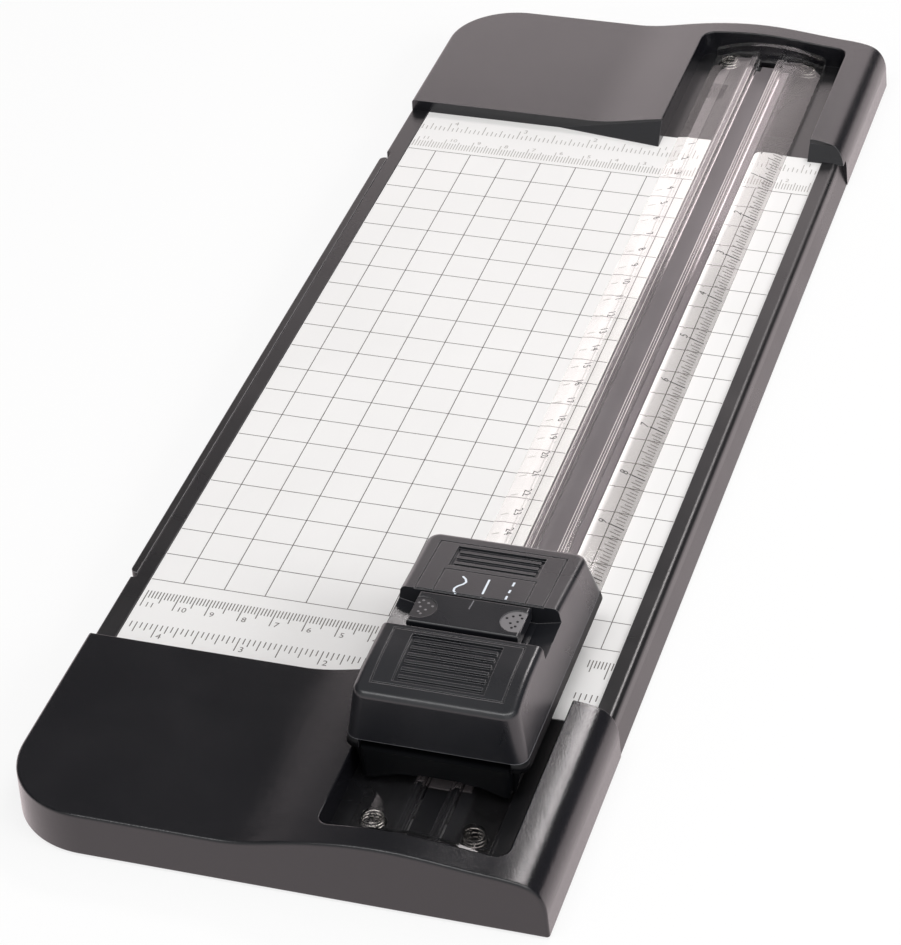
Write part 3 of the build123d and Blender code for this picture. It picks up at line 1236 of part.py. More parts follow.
# ---- carriage ------------------------------------------------------------------------------------
def make_carriage():
    """Carriage that runs on the guide and carries the blades and the cover."""
    section = [
        (CARRIAGE_FOOT_HALF, BOARD_Z + CARRIAGE_FOOT_RISE),
        (CARRIAGE_WAIST_HALF, BOARD_Z + CARRIAGE_WAIST_RISE),
        (CARRIAGE_TOP_HALF, CARRIAGE_TOP_Z),
    ]
    body = prism_y(polygon(mirrored(section, HEAD_X)), CARRIAGE_FRONT_Y, CARRIAGE_REAR_Y)
    nose_half = HEAD_BOTTOM_HALF - HEAD_NOTCH_INSET - FIT_GAP
    nose = box(
        HEAD_X - nose_half,
        HEAD_X + nose_half,
        NOSE_Y,
        CARRIAGE_FRONT_Y,
        BOARD_Z + CARRIAGE_FOOT_RISE,
        NOSE_TOP_Z,
    )
    uprights = [edge for edge in nose.edges().filter_by(Axis.Z) if edge.center().Y < NOSE_Y + NOSE_PROUD]
    body = body + fillet(uprights, HEAD_EDGE_ROUND)
    inner_half = CARRIAGE_TOP_HALF - CARRIAGE_WALL
    body = body - box(
        HEAD_X - inner_half,
        HEAD_X + inner_half,
        CARRIAGE_FRONT_Y + CARRIAGE_WALL,
        CARRIAGE_REAR_Y - CARRIAGE_WALL,
        CARRIAGE_DECK_Z,
        CARRIAGE_TOP_Z + WALL,
    )
    for x, y in PIN_PLACES:
        body = body + post(x, y, CARRIAGE_DECK_Z - WALL, PIN_BOSS_Z, PIN_BOSS_RADIUS)
    for station in STATIONS:
        body = body + post(
            station.stem_x,
            station.stem_y,
            CARRIAGE_DECK_Z - WALL,
            STEM_BOSS_Z,
            STEM_BOSS_RADIUS,
        )
    tunnel = [(0, BOARD_Z + RIB_RISE + ARCH_GAP)] + wing_top(ARCH_GAP) + [(GUIDE_HALF + ARCH_GAP, 0)]
    arch = mirrored(tunnel, CUT_X)
    body = body - prism_y(polygon(arch[1:-1]), FRONT_Y, REAR_Y)
    tongue_half = SLOT_HALF - FIT_GAP
    key_half = SLOT_HALF + KEYWAY_DEPTH - KEY_GAP
    key_z0 = BOARD_Z + KEYWAY_RISE + KEY_GAP
    key_z1 = key_z0 + KEYWAY_HEIGHT - 2 * KEY_GAP
    for y in (CARRIAGE_FRONT_Y + CARRIAGE_WALL, CARRIAGE_REAR_Y - CARRIAGE_WALL - TONGUE_LENGTH):
        body = body + box(
            CUT_X - tongue_half,
            CUT_X + tongue_half,
            y,
            y + TONGUE_LENGTH,
            BOARD_Z + TONGUE_RISE,
            CARRIAGE_DECK_Z,
        )
        body = body + box(CUT_X - key_half, CUT_X + key_half, y, y + TONGUE_LENGTH, key_z0, key_z1)
    reach = STATION_PITCH + BLADE_RADIUS + WHEEL_OPENING_GAP
    body = body - box(
        CUT_X - WHEEL_OPENING_HALF,
        CUT_X + WHEEL_OPENING_HALF,
        STATION_Y - reach,
        STATION_Y + reach,
        0,
        CARRIAGE_DECK_Z + CARRIAGE_TOP_RISE,
    )
    for x, y in PIN_PLACES:
        body = body - post(x, y, 0, PIN_POCKET_Z, PIN_POCKET_RADIUS)
        body = body - post(x, y, 0, 2 * PIN_BOSS_Z, PIN_RADIUS + SHAFT_GAP)
    for station in STATIONS:
        bore_z = BOARD_Z + STEM_BORE_RISE
        body = body - post(station.stem_x, station.stem_y, bore_z, 2 * STEM_BOSS_Z, STEM_RADIUS + SHAFT_GAP)
    return body


# ---- blade selector ------------------------------------------------------------------------------
def make_selector():
    """Slider in the saddle; its pusher stands over one holder at a time."""
    x0 = SELECTOR_X - SELECTOR_HALF
    x1 = SELECTOR_X + SELECTOR_HALF
    section = polygon([
        (SELECTOR_FRONT_Y + SELECTOR_UNDERCUT, SELECTOR_UNDER_Z),
        (SELECTOR_FRONT_Y, SELECTOR_UNDER_Z + SELECTOR_UNDERCUT),
        (SELECTOR_FRONT_Y, SELECTOR_TOP_Z),
        (SELECTOR_REAR_Y, SELECTOR_TOP_Z),
        (SELECTOR_REAR_Y, SELECTOR_UNDER_Z),
    ])
    slider = prism_x(section, x0, x1)
    rim = slider.faces().sort_by(Axis.Z)[-1].edges()
    slider = fillet(rim, SELECTOR_EDGE_ROUND)
    for side in (-1, 1):
        x = SELECTOR_X + side * (SELECTOR_HALF - PAD_IN)
        pad_z = SELECTOR_TOP_Z - PAD_DEPTH
        slider = slider - post(x, STATION_Y + PAD_REAR, pad_z, SELECTOR_TOP_Z + WALL, PAD_RADIUS)
    slider = slider + box(
        CUT_X - NECK_HALF,
        CUT_X + NECK_HALF,
        STATION_Y - STEM_SLOT_HALF,
        STATION_Y + STEM_SLOT_HALF,
        PUSHER_Z,
        SELECTOR_UNDER_Z + WALL,
    )
    return slider + box(
        CUT_X - PUSHER_HALF,
        CUT_X + PUSHER_HALF,
        STATION_Y - PUSHER_REACH,
        STATION_Y + PUSHER_REACH,
        PUSHER_Z,
        PUSHER_TOP_Z,
    )


def save(name, shape):
    """Write one node, a single solid or a group of separate solids."""
    if isinstance(shape, list):
        shape = Compound(children=shape)
    export_step(shape, f"parts/{name}.step")


def main():
    """Build every node."""
    os.makedirs("parts", exist_ok=True)
    save("base_tray", make_tray())
    save("bottom_cover", make_bottom())
    save("bottom_screws", make_bottom_screws())
    save("cap_screws", make_cap_screws())
    save("rubber_feet", make_feet())
    save("front_cap", make_cap(True))
    save("rear_cap", make_cap(False))
    save("sheet_left", make_sheet(True))
    save("sheet_right", make_sheet(False))
    save("cutting_mat", make_mat())
    save("side_ruler", make_side_ruler())
    save("clear_guide", make_guide())
    save("guide_screws", make_guide_screws())
    save("guide_springs", make_guide_springs())
    save("carriage", make_carriage())
    save("head_cover", make_cover())
    save("cover_screws", make_cover_screws())
    save("cover_springs", make_cover_springs())
    save("blade_selector", make_selector())
    save("straight_blade", STRAIGHT.disc())
    save("wave_blade", WAVE.wave_disc())
    save("perforating_blade", PERFORATING.notched_disc())
    for station in STATIONS:
        save(f"{station.name}_holder", station.holder())
        save(f"{station.name}_axle", station.axle())
        save(f"{station.name}_spring", station.spring())


if __name__ == "__main__":
    main()
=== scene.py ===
"""Rotary paper trimmer: finishes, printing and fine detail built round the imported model.

Pieces are written in millimetres in the row frame and turned into metres by MM. Soft boxes and
the grain of the finishes are written in metres.
"""

import logging
import math
from collections.abc import Iterable
from dataclasses import dataclass, field
from enum import Enum

import bmesh
import bpy
from mathutils import Matrix, Vector
from mathutils.bvhtree import BVHTree


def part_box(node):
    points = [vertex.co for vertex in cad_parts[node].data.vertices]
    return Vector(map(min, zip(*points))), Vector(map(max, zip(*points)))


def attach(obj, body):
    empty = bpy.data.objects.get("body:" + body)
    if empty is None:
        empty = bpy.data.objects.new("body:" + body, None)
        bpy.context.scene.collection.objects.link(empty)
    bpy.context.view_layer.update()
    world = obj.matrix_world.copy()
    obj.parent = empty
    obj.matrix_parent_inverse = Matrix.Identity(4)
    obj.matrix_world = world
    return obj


log = logging.getLogger("trimmer")
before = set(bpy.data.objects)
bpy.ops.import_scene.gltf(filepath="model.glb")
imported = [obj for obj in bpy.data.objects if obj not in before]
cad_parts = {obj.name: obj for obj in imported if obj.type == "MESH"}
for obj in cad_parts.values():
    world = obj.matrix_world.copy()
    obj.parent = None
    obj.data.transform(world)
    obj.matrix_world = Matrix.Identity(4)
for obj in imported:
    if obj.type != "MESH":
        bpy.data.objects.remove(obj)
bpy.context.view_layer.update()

MM = 0.001
IMAGE_LONG_SIDE = 945
SENSOR = 36.0
WARM = (1.0, 0.89, 0.905)
WHITE = (1.0, 1.0, 1.0, 1.0)
# Pale tone painted on moulded edges as a highlight.
EDGE_HIGHLIGHT_TONE = (150, 148, 150)
INCH = 25.4
INCH_PARTS = 16
INK_THICK = 0.03
INK_SINK = 0.005  # how far printed bars reach into a sheet
FIGURE_SHARE = 0.73  # height of a figure, as a share of its font size
INCH_STARTS = {8: -0.3, 4: 0.5, 2: 0.9, 1: 1.7}  # X from inch_tick, by divisor of the parts
ABOVE_ALL = 90.0  # Z from which skins are felt

Point = tuple[float, float, float]
Flat = tuple[float, float]
Socket = bpy.types.NodeSocket
Material = bpy.types.Material
Node = bpy.types.Node
Tree = bpy.types.NodeTree


def linear(tone: float) -> float:
    """Turns one display tone, 0 to 255, into scene light."""
    c = tone / 255.0
    return c / 12.92 if c <= 0.04045 else ((c + 0.055) / 1.055) ** 2.4


def colour(red: float, green: float, blue: float) -> tuple[float, float, float, float]:
    """Turns a display colour, 0 to 255 each, into scene light with full alpha."""
    return (linear(red), linear(green), linear(blue), 1.0)


def by_divisor(lengths: dict[int, float], count: int) -> float:
    """Looks up a tick by the first key that divides its number.

    Args:
        lengths: Value for each divisor, greatest first and 1 last.
        count: Number of the tick.

    Returns:
        The value.
    """
    return next(length for every, length in lengths.items() if count % every == 0)


def link_new(name: str, data: bpy.types.ID) -> bpy.types.Object:
    """Adds an object to the scene.

    Args:
        name: Its name.
        data: Its mesh, curve, lamp or camera.

    Returns:
        The object.
    """
    added = bpy.data.objects.new(name, data)
    bpy.context.scene.collection.objects.link(added)
    return added


def cut(bm: bmesh.types.BMesh, place: Point, normal: Point, clear: bool = False) -> None:
    """Cuts a mesh along a plane.

    Args:
        bm: The mesh.
        place: A point on the plane.
        normal: Direction of the plane's outer side.
        clear: True takes away what lies on the outer side.
    """
    parts = bm.verts[:] + bm.edges[:] + bm.faces[:]
    bmesh.ops.bisect_plane(bm, geom=parts, plane_co=place, plane_no=normal, clear_outer=clear)


# ---- node helpers


@dataclass
class Nodes:
    """Short hand for building one node tree.

    Attributes:
        tree: The node tree that is built.
    """

    tree: Tree

    def add(self, kind: str, inputs: dict | None = None, **settings: object) -> Node:
        """Adds a node.

        Args:
            kind: Blender's name of the node type.
            inputs: Value or output socket for each named or numbered input.
            **settings: Properties of the node.

        Returns:
            The new node.
        """
        node = self.tree.nodes.new(kind)
        for name, value in settings.items():
            setattr(node, name, value)
        self.fill(node, inputs or {})
        return node

    def fill(self, node: Node, inputs: dict) -> None:
        """Links or sets inputs of a node.

        Args:
            node: The node.
            inputs: Value or output socket for each named or numbered input.
        """
        for key, value in inputs.items():
            if isinstance(value, Socket):
                self.tree.links.new(value, node.inputs[key])
            else:
                node.inputs[key].default_value = value

    def math(self, operation: str, a: object, b: object = 0.0) -> Socket:
        """Adds a Math node.

        Args:
            operation: Name of the operation.
            a: First value or socket.
            b: Second value or socket.

        Returns:
            The result's socket.
        """
        return self.add("ShaderNodeMath", {0: a, 1: b}, operation=operation).outputs[0]

    def spread(
        self,
        value: object,
        low: float,
        high: float,
        to_low: float = 0.0,
        to_high: float = 1.0,
    ) -> Socket:
        """Adds a Map Range node that clamps.

        Args:
            value: The socket that is mapped.
            low: Value that gives to_low.
            high: Value that gives to_high.
            to_low: First result.
            to_high: Second result.

        Returns:
            The result's socket.
        """
        limits = {"From Min": low, "From Max": high, "To Min": to_low, "To Max": to_high}
        return self.add("ShaderNodeMapRange", {"Value": value, **limits}).outputs["Result"]

    def mix(self, share: object, a: object, b: object) -> Socket:
        """Mixes two colours.

        Args:
            share: Share of b.
            a: First colour or socket.
            b: Second colour or socket.

        Returns:
            The mixed colour's socket.
        """
        colours = {"Factor": share, "A": a, "B": b}
        return self.add("ShaderNodeMix", colours, data_type="RGBA").outputs["Result"]

    def group(self, tree: Tree, **values: float) -> Node:
        """Adds a node group.

        Args:
            tree: The group.
            **values: Value of each input that is set.

        Returns:
            Its node.
        """
        return self.add("ShaderNodeGroup", values, node_tree=tree)

    def choose(
        self, share: object, first: Node, second: Node
    ) -> Socket:
        """Mixes two shaders.

        Args:
            share: Share of the second.
            first: First shader.
            second: Second shader.

        Returns:
            The mixed shader's socket.
        """
        shaders = {0: share, 1: first.outputs[0], 2: second.outputs[0]}
        return self.add("ShaderNodeMixShader", shaders).outputs[0]


def new_group(
    name: str,
    inputs: dict[str, float],
    outputs: Iterable[str],
    vectors: Iterable[str] = (),
) -> tuple[Nodes, dict, Node]:
    """Starts a shader node group.

    Args:
        name: Name of the group.
        inputs: Default of each value input.
        outputs: Names of the value outputs.
        vectors: Names of the normal outputs.

    Returns:
        The group's nodes, its input sockets by name, and its output node.
    """
    tree = bpy.data.node_groups.new(name, "ShaderNodeTree")
    for key, default in inputs.items():
        socket = tree.interface.new_socket(name=key, in_out="INPUT", socket_type="NodeSocketFloat")
        socket.default_value = default
    for key in outputs:
        tree.interface.new_socket(name=key, in_out="OUTPUT", socket_type="NodeSocketFloat")
    for key in vectors:
        tree.interface.new_socket(name=key, in_out="OUTPUT", socket_type="NodeSocketVector")
    nodes = Nodes(tree)
    start = nodes.add("NodeGroupInput")
    end = nodes.add("NodeGroupOutput")
    return nodes, {key: start.outputs[key] for key in inputs}, end


class SharedEffects:
    """Node groups that more than one finish uses, each built once."""

    def __init__(self) -> None:
        """Builds the groups."""
        self.grain = self.build_grain()
        self.handling = self.build_handling()
        self.edges = self.build_edges()

    @staticmethod
    def build_grain() -> Tree:
        """Builds the fine moulded grain.

        Returns:
            The group: Scale in, Height out.
        """
        coarseness, coarse_share = 0.47, 0.15
        nodes, inputs, end = new_group("moulded_grain", {"Scale": 4000.0}, ("Height",))
        place = nodes.add("ShaderNodeTexCoord").outputs["Object"]
        coarse_scale = nodes.math("MULTIPLY", inputs["Scale"], coarseness)
        fine = nodes.add(
            "ShaderNodeTexNoise", {"Vector": place, "Scale": inputs["Scale"], "Detail": 3.0}
        )
        coarse = nodes.add(
            "ShaderNodeTexNoise", {"Vector": place, "Scale": coarse_scale, "Detail": 1.0}
        )
        height = nodes.math(
            "ADD",
            nodes.math("MULTIPLY", fine.outputs[0], 1.0 - coarse_share),
            nodes.math("MULTIPLY", coarse.outputs[0], coarse_share),
        )
        nodes.fill(end, {"Height": height})
        return nodes.tree

    @staticmethod
    def build_handling() -> Tree:
        """Builds the broad smears that hands and cloths leave on satin plastic.

        Returns:
            The group: Scale in, Smear out, from 0 to 1.
        """
        nodes, inputs, end = new_group("handling_smears", {"Scale": 28.0}, ("Smear",))
        place = nodes.add("ShaderNodeTexCoord").outputs["Object"]
        broad = nodes.add(
            "ShaderNodeTexNoise",
            {"Vector": place, "Scale": inputs["Scale"], "Detail": 4.0, "Distortion": 0.6},
        )
        clean, smeared = 0.35, 0.7
        nodes.fill(end, {"Smear": nodes.spread(broad.outputs[0], clean, smeared)})
        return nodes.tree

    @staticmethod
    def build_edges() -> Tree:
        """Builds the soft corners of moulded edges and the mask of where they are.

        Returns:
            The group: Radius in; Edge, from 0 to 1, and the rounded Normal out.
        """
        nodes, inputs, end = new_group("moulded_edges", {"Radius": 0.0002}, ("Edge",), ("Normal",))
        soft = nodes.add("ShaderNodeBevel", {"Radius": inputs["Radius"]}, samples=6).outputs[0]
        flat = nodes.add("ShaderNodeNewGeometry").outputs["Normal"]
        along = nodes.add("ShaderNodeVectorMath", {0: soft, 1: flat}, operation="DOT_PRODUCT")
        level, corner = 0.995, 0.86
        nodes.fill(end, {"Edge": nodes.spread(along.outputs["Value"], level, corner)})
        nodes.fill(end, {"Normal": soft})
        return nodes.tree


def new_material(name: str) -> tuple[Material, Nodes, Node]:
    """Starts a node material.

    Args:
        name: Name of the material.

    Returns:
        The material, its nodes and its Principled shader.
    """
    material = bpy.data.materials.new(name)
    material.use_nodes = True
    shader = material.node_tree.nodes["Principled BSDF"]
    return material, Nodes(material.node_tree), shader


@dataclass(frozen=True)
class Surface:
    """A finish.

    Attributes:
        name: Name of the material.
        tone: Display colour.
    """

    name: str
    tone: Point

    def build(self, effects: SharedEffects) -> Material:
        """Builds the material.

        Args:
            effects: The shared node groups.

        Returns:
            The material.
        """
        material, nodes, shader = new_material(self.name)
        self.dress(nodes, shader, effects)
        return material

    def dress(self, nodes: Nodes, shader: Node, effects: SharedEffects) -> None:
        """Fills in the nodes; each kind of finish does it in its own way.

        Args:
            nodes: The material's nodes.
            shader: Its Principled shader.
            effects: The shared node groups.
        """
        raise NotImplementedError


@dataclass(frozen=True)
class Moulded(Surface):
    """Moulded opaque plastic or rubber.

    Attributes:
        smear_tone: Display colour where the surface is handled.
        roughness: Least and most roughness over the surface.
        grain_scale: Cells of the fine grain in a metre.
        grain_depth: Height of the fine grain in metres.
        specular: Strength of the surface reflection.
        edge: Share of pale tone painted on the edges as a highlight.
        edge_radius: Radius of the soft corners in metres.
    """

    smear_tone: Point
    roughness: Flat
    grain_scale: float = 5000.0
    grain_depth: float = 0.00001
    specular: float = 0.5
    edge: float = 0.0
    edge_radius: float = 0.0002

    def dress(self, nodes: Nodes, shader: Node, effects: SharedEffects) -> None:
        """Fills in the nodes."""
        grain = nodes.group(effects.grain, Scale=self.grain_scale).outputs["Height"]
        smear = nodes.group(effects.handling).outputs["Smear"]
        tint = nodes.mix(smear, colour(*self.tone), colour(*self.smear_tone))
        bump = nodes.add("ShaderNodeBump", {"Height": grain, "Distance": self.grain_depth})
        # Painted highlight: a pale tone is mixed into the colour on the rounded edges.
        if self.edge:
            corner = nodes.group(effects.edges, Radius=self.edge_radius)
            nodes.fill(bump, {"Normal": corner.outputs["Normal"]})
            worn = nodes.math("MULTIPLY", corner.outputs["Edge"], self.edge)
            tint = nodes.mix(worn, tint, colour(*EDGE_HIGHLIGHT_TONE))
        inputs = {
            "Base Color": tint,
            "Roughness": nodes.spread(smear, 0.0, 1.0, *self.roughness),
            "Normal": bump.outputs[0],
            "Specular IOR Level": self.specular,
        }
        nodes.fill(shader, inputs)


@dataclass(frozen=True)
class Metal(Surface):
    """Bare metal.

    Attributes:
        roughness: Least and most roughness over the surface.
        smears: Scale of the smears.
        dulled: Share of the tone that is left in a smear.
    """

    roughness: Flat
    smears: float = 400.0
    dulled: float = 0.9

    def dress(self, nodes: Nodes, shader: Node, effects: SharedEffects) -> None:
        """Fills in the nodes."""
        smear = nodes.group(effects.handling, Scale=self.smears).outputs["Smear"]
        dull = colour(*(self.dulled * tone for tone in self.tone))
        inputs = {
            "Base Color": nodes.mix(smear, colour(*self.tone), dull),
            "Roughness": nodes.spread(smear, 0.0, 1.0, *self.roughness),
            "Metallic": 1.0,
        }
        nodes.fill(shader, inputs)


@dataclass(frozen=True)
class Clear(Surface):
    """Clear moulded plastic, whose tone is that of the light that passes, with painted shade on
    its wings.

    Attributes:
        roughness: Least and most roughness over the surface.
        shade: Share of the light that its shadow keeps back.
        left_tone: Display colour of the left wing, darker than the middle as painted shade.
        left_to: X in millimetres where the left wing ends.
        right_tones: Display colour of the right wing at the rear and at the front, painted shade
            that darkens towards the front.
        right_from: X in millimetres where the right wing turns grey with painted shade.
        ends_y: Y in millimetres of the two right tones.
        blend: Half the width in millimetres over which a wing's tone fades.
        ior: Index of refraction.
    """

    roughness: Flat
    shade: float
    left_tone: Point = (230, 229, 228)
    left_to: float = 32.0
    right_tones: tuple[Point, Point] = ((208, 207, 206), (198, 196, 195))
    right_from: float = 49.6
    ends_y: Flat = (150.0, -100.0)
    blend: float = 0.6
    ior: float = 1.3

    def dress(self, nodes: Nodes, shader: Node, effects: SharedEffects) -> None:
        """Fills in the nodes."""
        smear = nodes.group(effects.handling).outputs["Smear"]
        where = nodes.add("ShaderNodeTexCoord").outputs["Object"]
        place = nodes.add("ShaderNodeSeparateXYZ", {0: where})
        # Painted shade: the wings are tinted darker than the clear middle, the right one greyer
        # towards the front.
        along = nodes.spread(place.outputs["Y"], *(y * MM for y in self.ends_y))
        grey = nodes.mix(along, *(colour(*tone) for tone in self.right_tones))
        before, beside = (
            nodes.spread(place.outputs["X"], (x - self.blend) * MM, (x + self.blend) * MM)
            for x in (self.left_to, self.right_from)
        )
        middle = nodes.mix(before, colour(*self.left_tone), colour(*self.tone))
        inputs = {
            "Base Color": nodes.mix(beside, middle, grey),
            "Roughness": nodes.spread(smear, 0.0, 1.0, *self.roughness),
            "IOR": self.ior,
            "Transmission Weight": 1.0,
        }
        nodes.fill(shader, inputs)
        shadow = nodes.add("ShaderNodeLightPath").outputs["Is Shadow Ray"]
        passing = 1.0 - self.shade
        veil = nodes.add("ShaderNodeBsdfTransparent", {"Color": (passing, passing, passing, 1.0)})
        end = nodes.tree.nodes["Material Output"]
        nodes.fill(end, {"Surface": nodes.choose(shadow, shader, veil)})


@dataclass(frozen=True)
class Paper(Surface):
    """Smooth printed sheet.

    Attributes:
        worn: Display colour where the sheet shows wear.
        roughness: Least and most roughness over the surface.
        specular: Strength of the surface reflection.
        grain_scale: Cells of its grain in a metre.
        grain_depth: Height of its grain in metres.
        grain_ends: Grain at which the roughness is least and most.
        smears: Scale of the places of wear.
    """

    worn: Point
    roughness: Flat = (0.42, 0.5)
    specular: float = 0.12
    grain_scale: float = 2500.0
    grain_depth: float = 0.000004
    grain_ends: Flat = (0.3, 0.7)
    smears: float = 14.0

    def dress(self, nodes: Nodes, shader: Node, effects: SharedEffects) -> None:
        """Fills in the nodes."""
        grain = nodes.group(effects.grain, Scale=self.grain_scale).outputs["Height"]
        smear = nodes.group(effects.handling, Scale=self.smears).outputs["Smear"]
        bump = nodes.add("ShaderNodeBump", {"Height": grain, "Distance": self.grain_depth})
        inputs = {
            "Base Color": nodes.mix(smear, colour(*self.tone), colour(*self.worn)),
            "Roughness": nodes.spread(grain, *self.grain_ends, *self.roughness),
            "Normal": bump.outputs[0],
            "Specular IOR Level": self.specular,
        }
        nodes.fill(shader, inputs)


class Finish(Enum):
    """Every finish on the trimmer."""

    CAP = Moulded(
        "cap_plastic_satin", (17, 17, 21), (20, 20, 24), (0.18, 0.23), 2100.0, 0.00006, 0.6, 0.35
    )
    BOARD = Moulded(
        "board_plastic_grain", (19, 19, 21), (23, 23, 25), (0.26, 0.32), 2000.0, 0.00002, 0.6, 0.3
    )
    HEAD = Moulded(
        "head_plastic_satin", (24, 25, 29), (29, 30, 34), (0.26, 0.34), 2000.0, 0.00003, 0.7, 0.5,
        edge_radius=0.00025,
    )
    RULER = Moulded(
        "ruler_plastic", (24, 23, 24), (30, 29, 29), (0.26, 0.34), 3000.0, 0.00001, 0.5, 0.9,
        edge_radius=0.0004,
    )
    MAT = Moulded("mat_plastic", (96, 91, 93), (102, 97, 99), (0.34, 0.42), 1800.0, 0.00002)
    RUBBER = Moulded("foot_rubber", (24, 24, 24), (34, 33, 33), (0.7, 0.85), 1500.0, 0.00003)
    INK = Moulded("print_ink", (96, 92, 90), (108, 103, 100), (0.5, 0.6), 2500.0, 0.000003)
    FAINT_INK = Moulded(
        "print_ink_faint", (168, 164, 161), (182, 178, 175), (0.5, 0.6), 2500.0, 0.000003
    )
    FIGURE_INK = Moulded(
        "print_ink_dark", (40, 39, 39), (48, 46, 46), (0.5, 0.6), 2500.0, 0.000003
    )
    WHITE_INK = Moulded(
        "mark_white", (212, 222, 232), (226, 233, 240), (0.45, 0.55), 2500.0, 0.000003
    )
    # Grey of the selector's pointer, also used for the light line painted along the cover's seam
    # as a highlight.
    FAINT_MARK = Moulded("mark_and_highlight_grey", (92, 92, 96), (104, 104, 108), (0.4, 0.5), 2500.0, 0.000003)
    SHADE = Moulded(
        "head_plastic_shaded", (6, 7, 9), (8, 9, 12), (0.4, 0.5), 3000.0, 0.000008, 0.25
    )
    PAD = Moulded("pad_plastic", (44, 43, 45), (52, 51, 53), (0.42, 0.5), 2600.0, 0.00001)
    PAD_PALE = Moulded(
        "pad_plastic_pale", (112, 110, 112), (126, 124, 126), (0.42, 0.5), 2600.0, 0.00001
    )
    # Painted highlight: pale lines along the edges of the guide's ribs.
    FROST = Moulded(
        "rib_edge_painted_highlight", (214, 206, 204), (226, 219, 217), (0.35, 0.45), 2500.0, 0.000004
    )
    STEEL = Metal("blade_steel", (196, 196, 198), (0.2, 0.32))
    SPRING = Metal("spring_wire", (250, 247, 243), (0.1, 0.2))
    SHEET = Paper("sheet_white", (237, 236, 235), (233, 232, 231))
    CLEAR = Clear("guide_clear", (252, 250, 250), (0.03, 0.06), 0.06)


@dataclass
class Palette:
    """Materials by finish, each built when it is first asked for.

    Attributes:
        effects: The shared node groups.
        made: The materials built so far.
    """

    effects: SharedEffects = field(default_factory=SharedEffects)
    made: dict[Finish, Material] = field(default_factory=dict)

    def get(self, finish: Finish) -> Material:
        """Gives the material of a finish.

        Args:
            finish: The finish.

        Returns:
            Its material.
        """
        if finish not in self.made:
            self.made[finish] = finish.value.build(self.effects)
        return self.made[finish]

    def dress(self, finish: Finish, *names: str) -> None:
        """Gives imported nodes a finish.

        Args:
            finish: The finish.
            *names: The nodes.
        """
        for name in names:
            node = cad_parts[name]
            if not node.material_slots:
                node.data.materials.append(None)
            for place in node.material_slots:
                place.material = self.get(finish)
        log.info("dressed %s", ", ".join(names))


# ---- mesh helpers


@dataclass
class Sketch:
    """A piece under construction, in millimetres.

    Attributes:
        name: Name of the finished piece.
        bm: Its mesh.
    """

    name: str
    bm: bmesh.types.BMesh = field(default_factory=bmesh.new)

    def bar(self, x: Flat, y: Flat, z: Flat = (0.0, INK_THICK)) -> None:
        """Adds a box.

        Args:
            x: Lowest and highest X.
            y: Lowest and highest Y.
            z: Lowest and highest Z; ink at nought if not given.
        """
        size = Matrix.Diagonal((x[1] - x[0], y[1] - y[0], z[1] - z[0], 1.0))
        middle = Matrix.Translation(((x[0] + x[1]) / 2, (y[0] + y[1]) / 2, (z[0] + z[1]) / 2))
        bmesh.ops.create_cube(self.bm, size=1.0, matrix=middle @ size)

    def add_curve(self, curve: bpy.types.Curve, move: Matrix) -> None:
        """Adds the mesh of a curve or text, and removes the curve.

        Args:
            curve: The curve.
            move: How its mesh is moved.
        """
        holder = link_new("holder", curve)
        bpy.context.view_layer.update()
        graph = bpy.context.evaluated_depsgraph_get()
        mesh = bpy.data.meshes.new_from_object(holder.evaluated_get(graph))
        bpy.data.objects.remove(holder)
        bpy.data.curves.remove(curve)
        mesh.transform(move)
        self.bm.from_mesh(mesh)
        bpy.data.meshes.remove(mesh)

    def bead(self, line: list[Flat], width: float, rise: float) -> None:
        """Adds a low rounded bead along a line on the level.

        Args:
            line: X and Y of the line's points.
            width: Width of the bead.
            rise: Height of its crown above nought.
        """
        curve = bpy.data.curves.new("bead", "CURVE")
        curve.dimensions = "3D"
        curve.bevel_depth = width / 2
        curve.bevel_resolution = 1
        curve.use_fill_caps = True
        spline = curve.splines.new("POLY")
        spline.points.add(len(line) - 1)
        for place, (x, y) in zip(spline.points, line):
            place.co = (x, y, 0.0, 1.0)
        self.add_curve(curve, Matrix.Diagonal((1.0, 1.0, 2 * rise / width, 1.0)))

    def write(self, words: str, middle: Flat, z: float, height: float, turn: float = 0.0) -> None:
        """Adds flat figures.

        Args:
            words: What they say.
            middle: X and Y of their middle.
            z: Their Z.
            height: Their height.
            turn: Degrees that they are turned.
        """
        curve = bpy.data.curves.new("figures", "FONT")
        curve.body = words
        curve.size = height / FIGURE_SHARE
        curve.align_x = "CENTER"
        curve.align_y = "CENTER"
        curve.resolution_u = 3
        spin = Matrix.Rotation(math.radians(turn), 4, "Z")
        self.add_curve(curve, Matrix.Translation((*middle, z)) @ spin)

    def split(self, x_places: Iterable[float]) -> None:
        """Cuts every face at some places of X, so that it can bend there."""
        for x in x_places:
            cut(self.bm, (x, 0.0, 0.0), (1.0, 0.0, 0.0))

    def drape(self, skin: "Skin", lift: float) -> None:
        """Lowers the sketch onto a skin.

        Args:
            skin: The skin that it lies on.
            lift: Height above the skin of what is at Z nought.
        """
        for vert in self.bm.verts:
            vert.co.z += skin.height(vert.co.x, vert.co.y) + lift

    def finish(
        self,
        material: Material,
        body: str,
        slot: str,
        smooth_angle: float | None = None,
    ) -> None:
        """Turns the sketch into an object of the scene.

        Args:
            material: Its material.
            body: The body that it rides on.
            slot: The record's material slot; not used.
            smooth_angle: Degrees under which an edge is shaded smooth; None is flat.
        """
        bmesh.ops.scale(self.bm, vec=(MM, MM, MM), verts=self.bm.verts)
        bmesh.ops.recalc_face_normals(self.bm, faces=self.bm.faces)
        mesh = bpy.data.meshes.new(self.name)
        self.bm.to_mesh(mesh)
        self.bm.free()
        mesh.materials.append(material)
        if smooth_angle is not None:
            mesh.shade_smooth()
            mesh.set_sharp_from_angle(angle=math.radians(smooth_angle))
        piece = link_new(self.name, mesh)
        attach(piece, body)
        log.info("made %s", self.name)


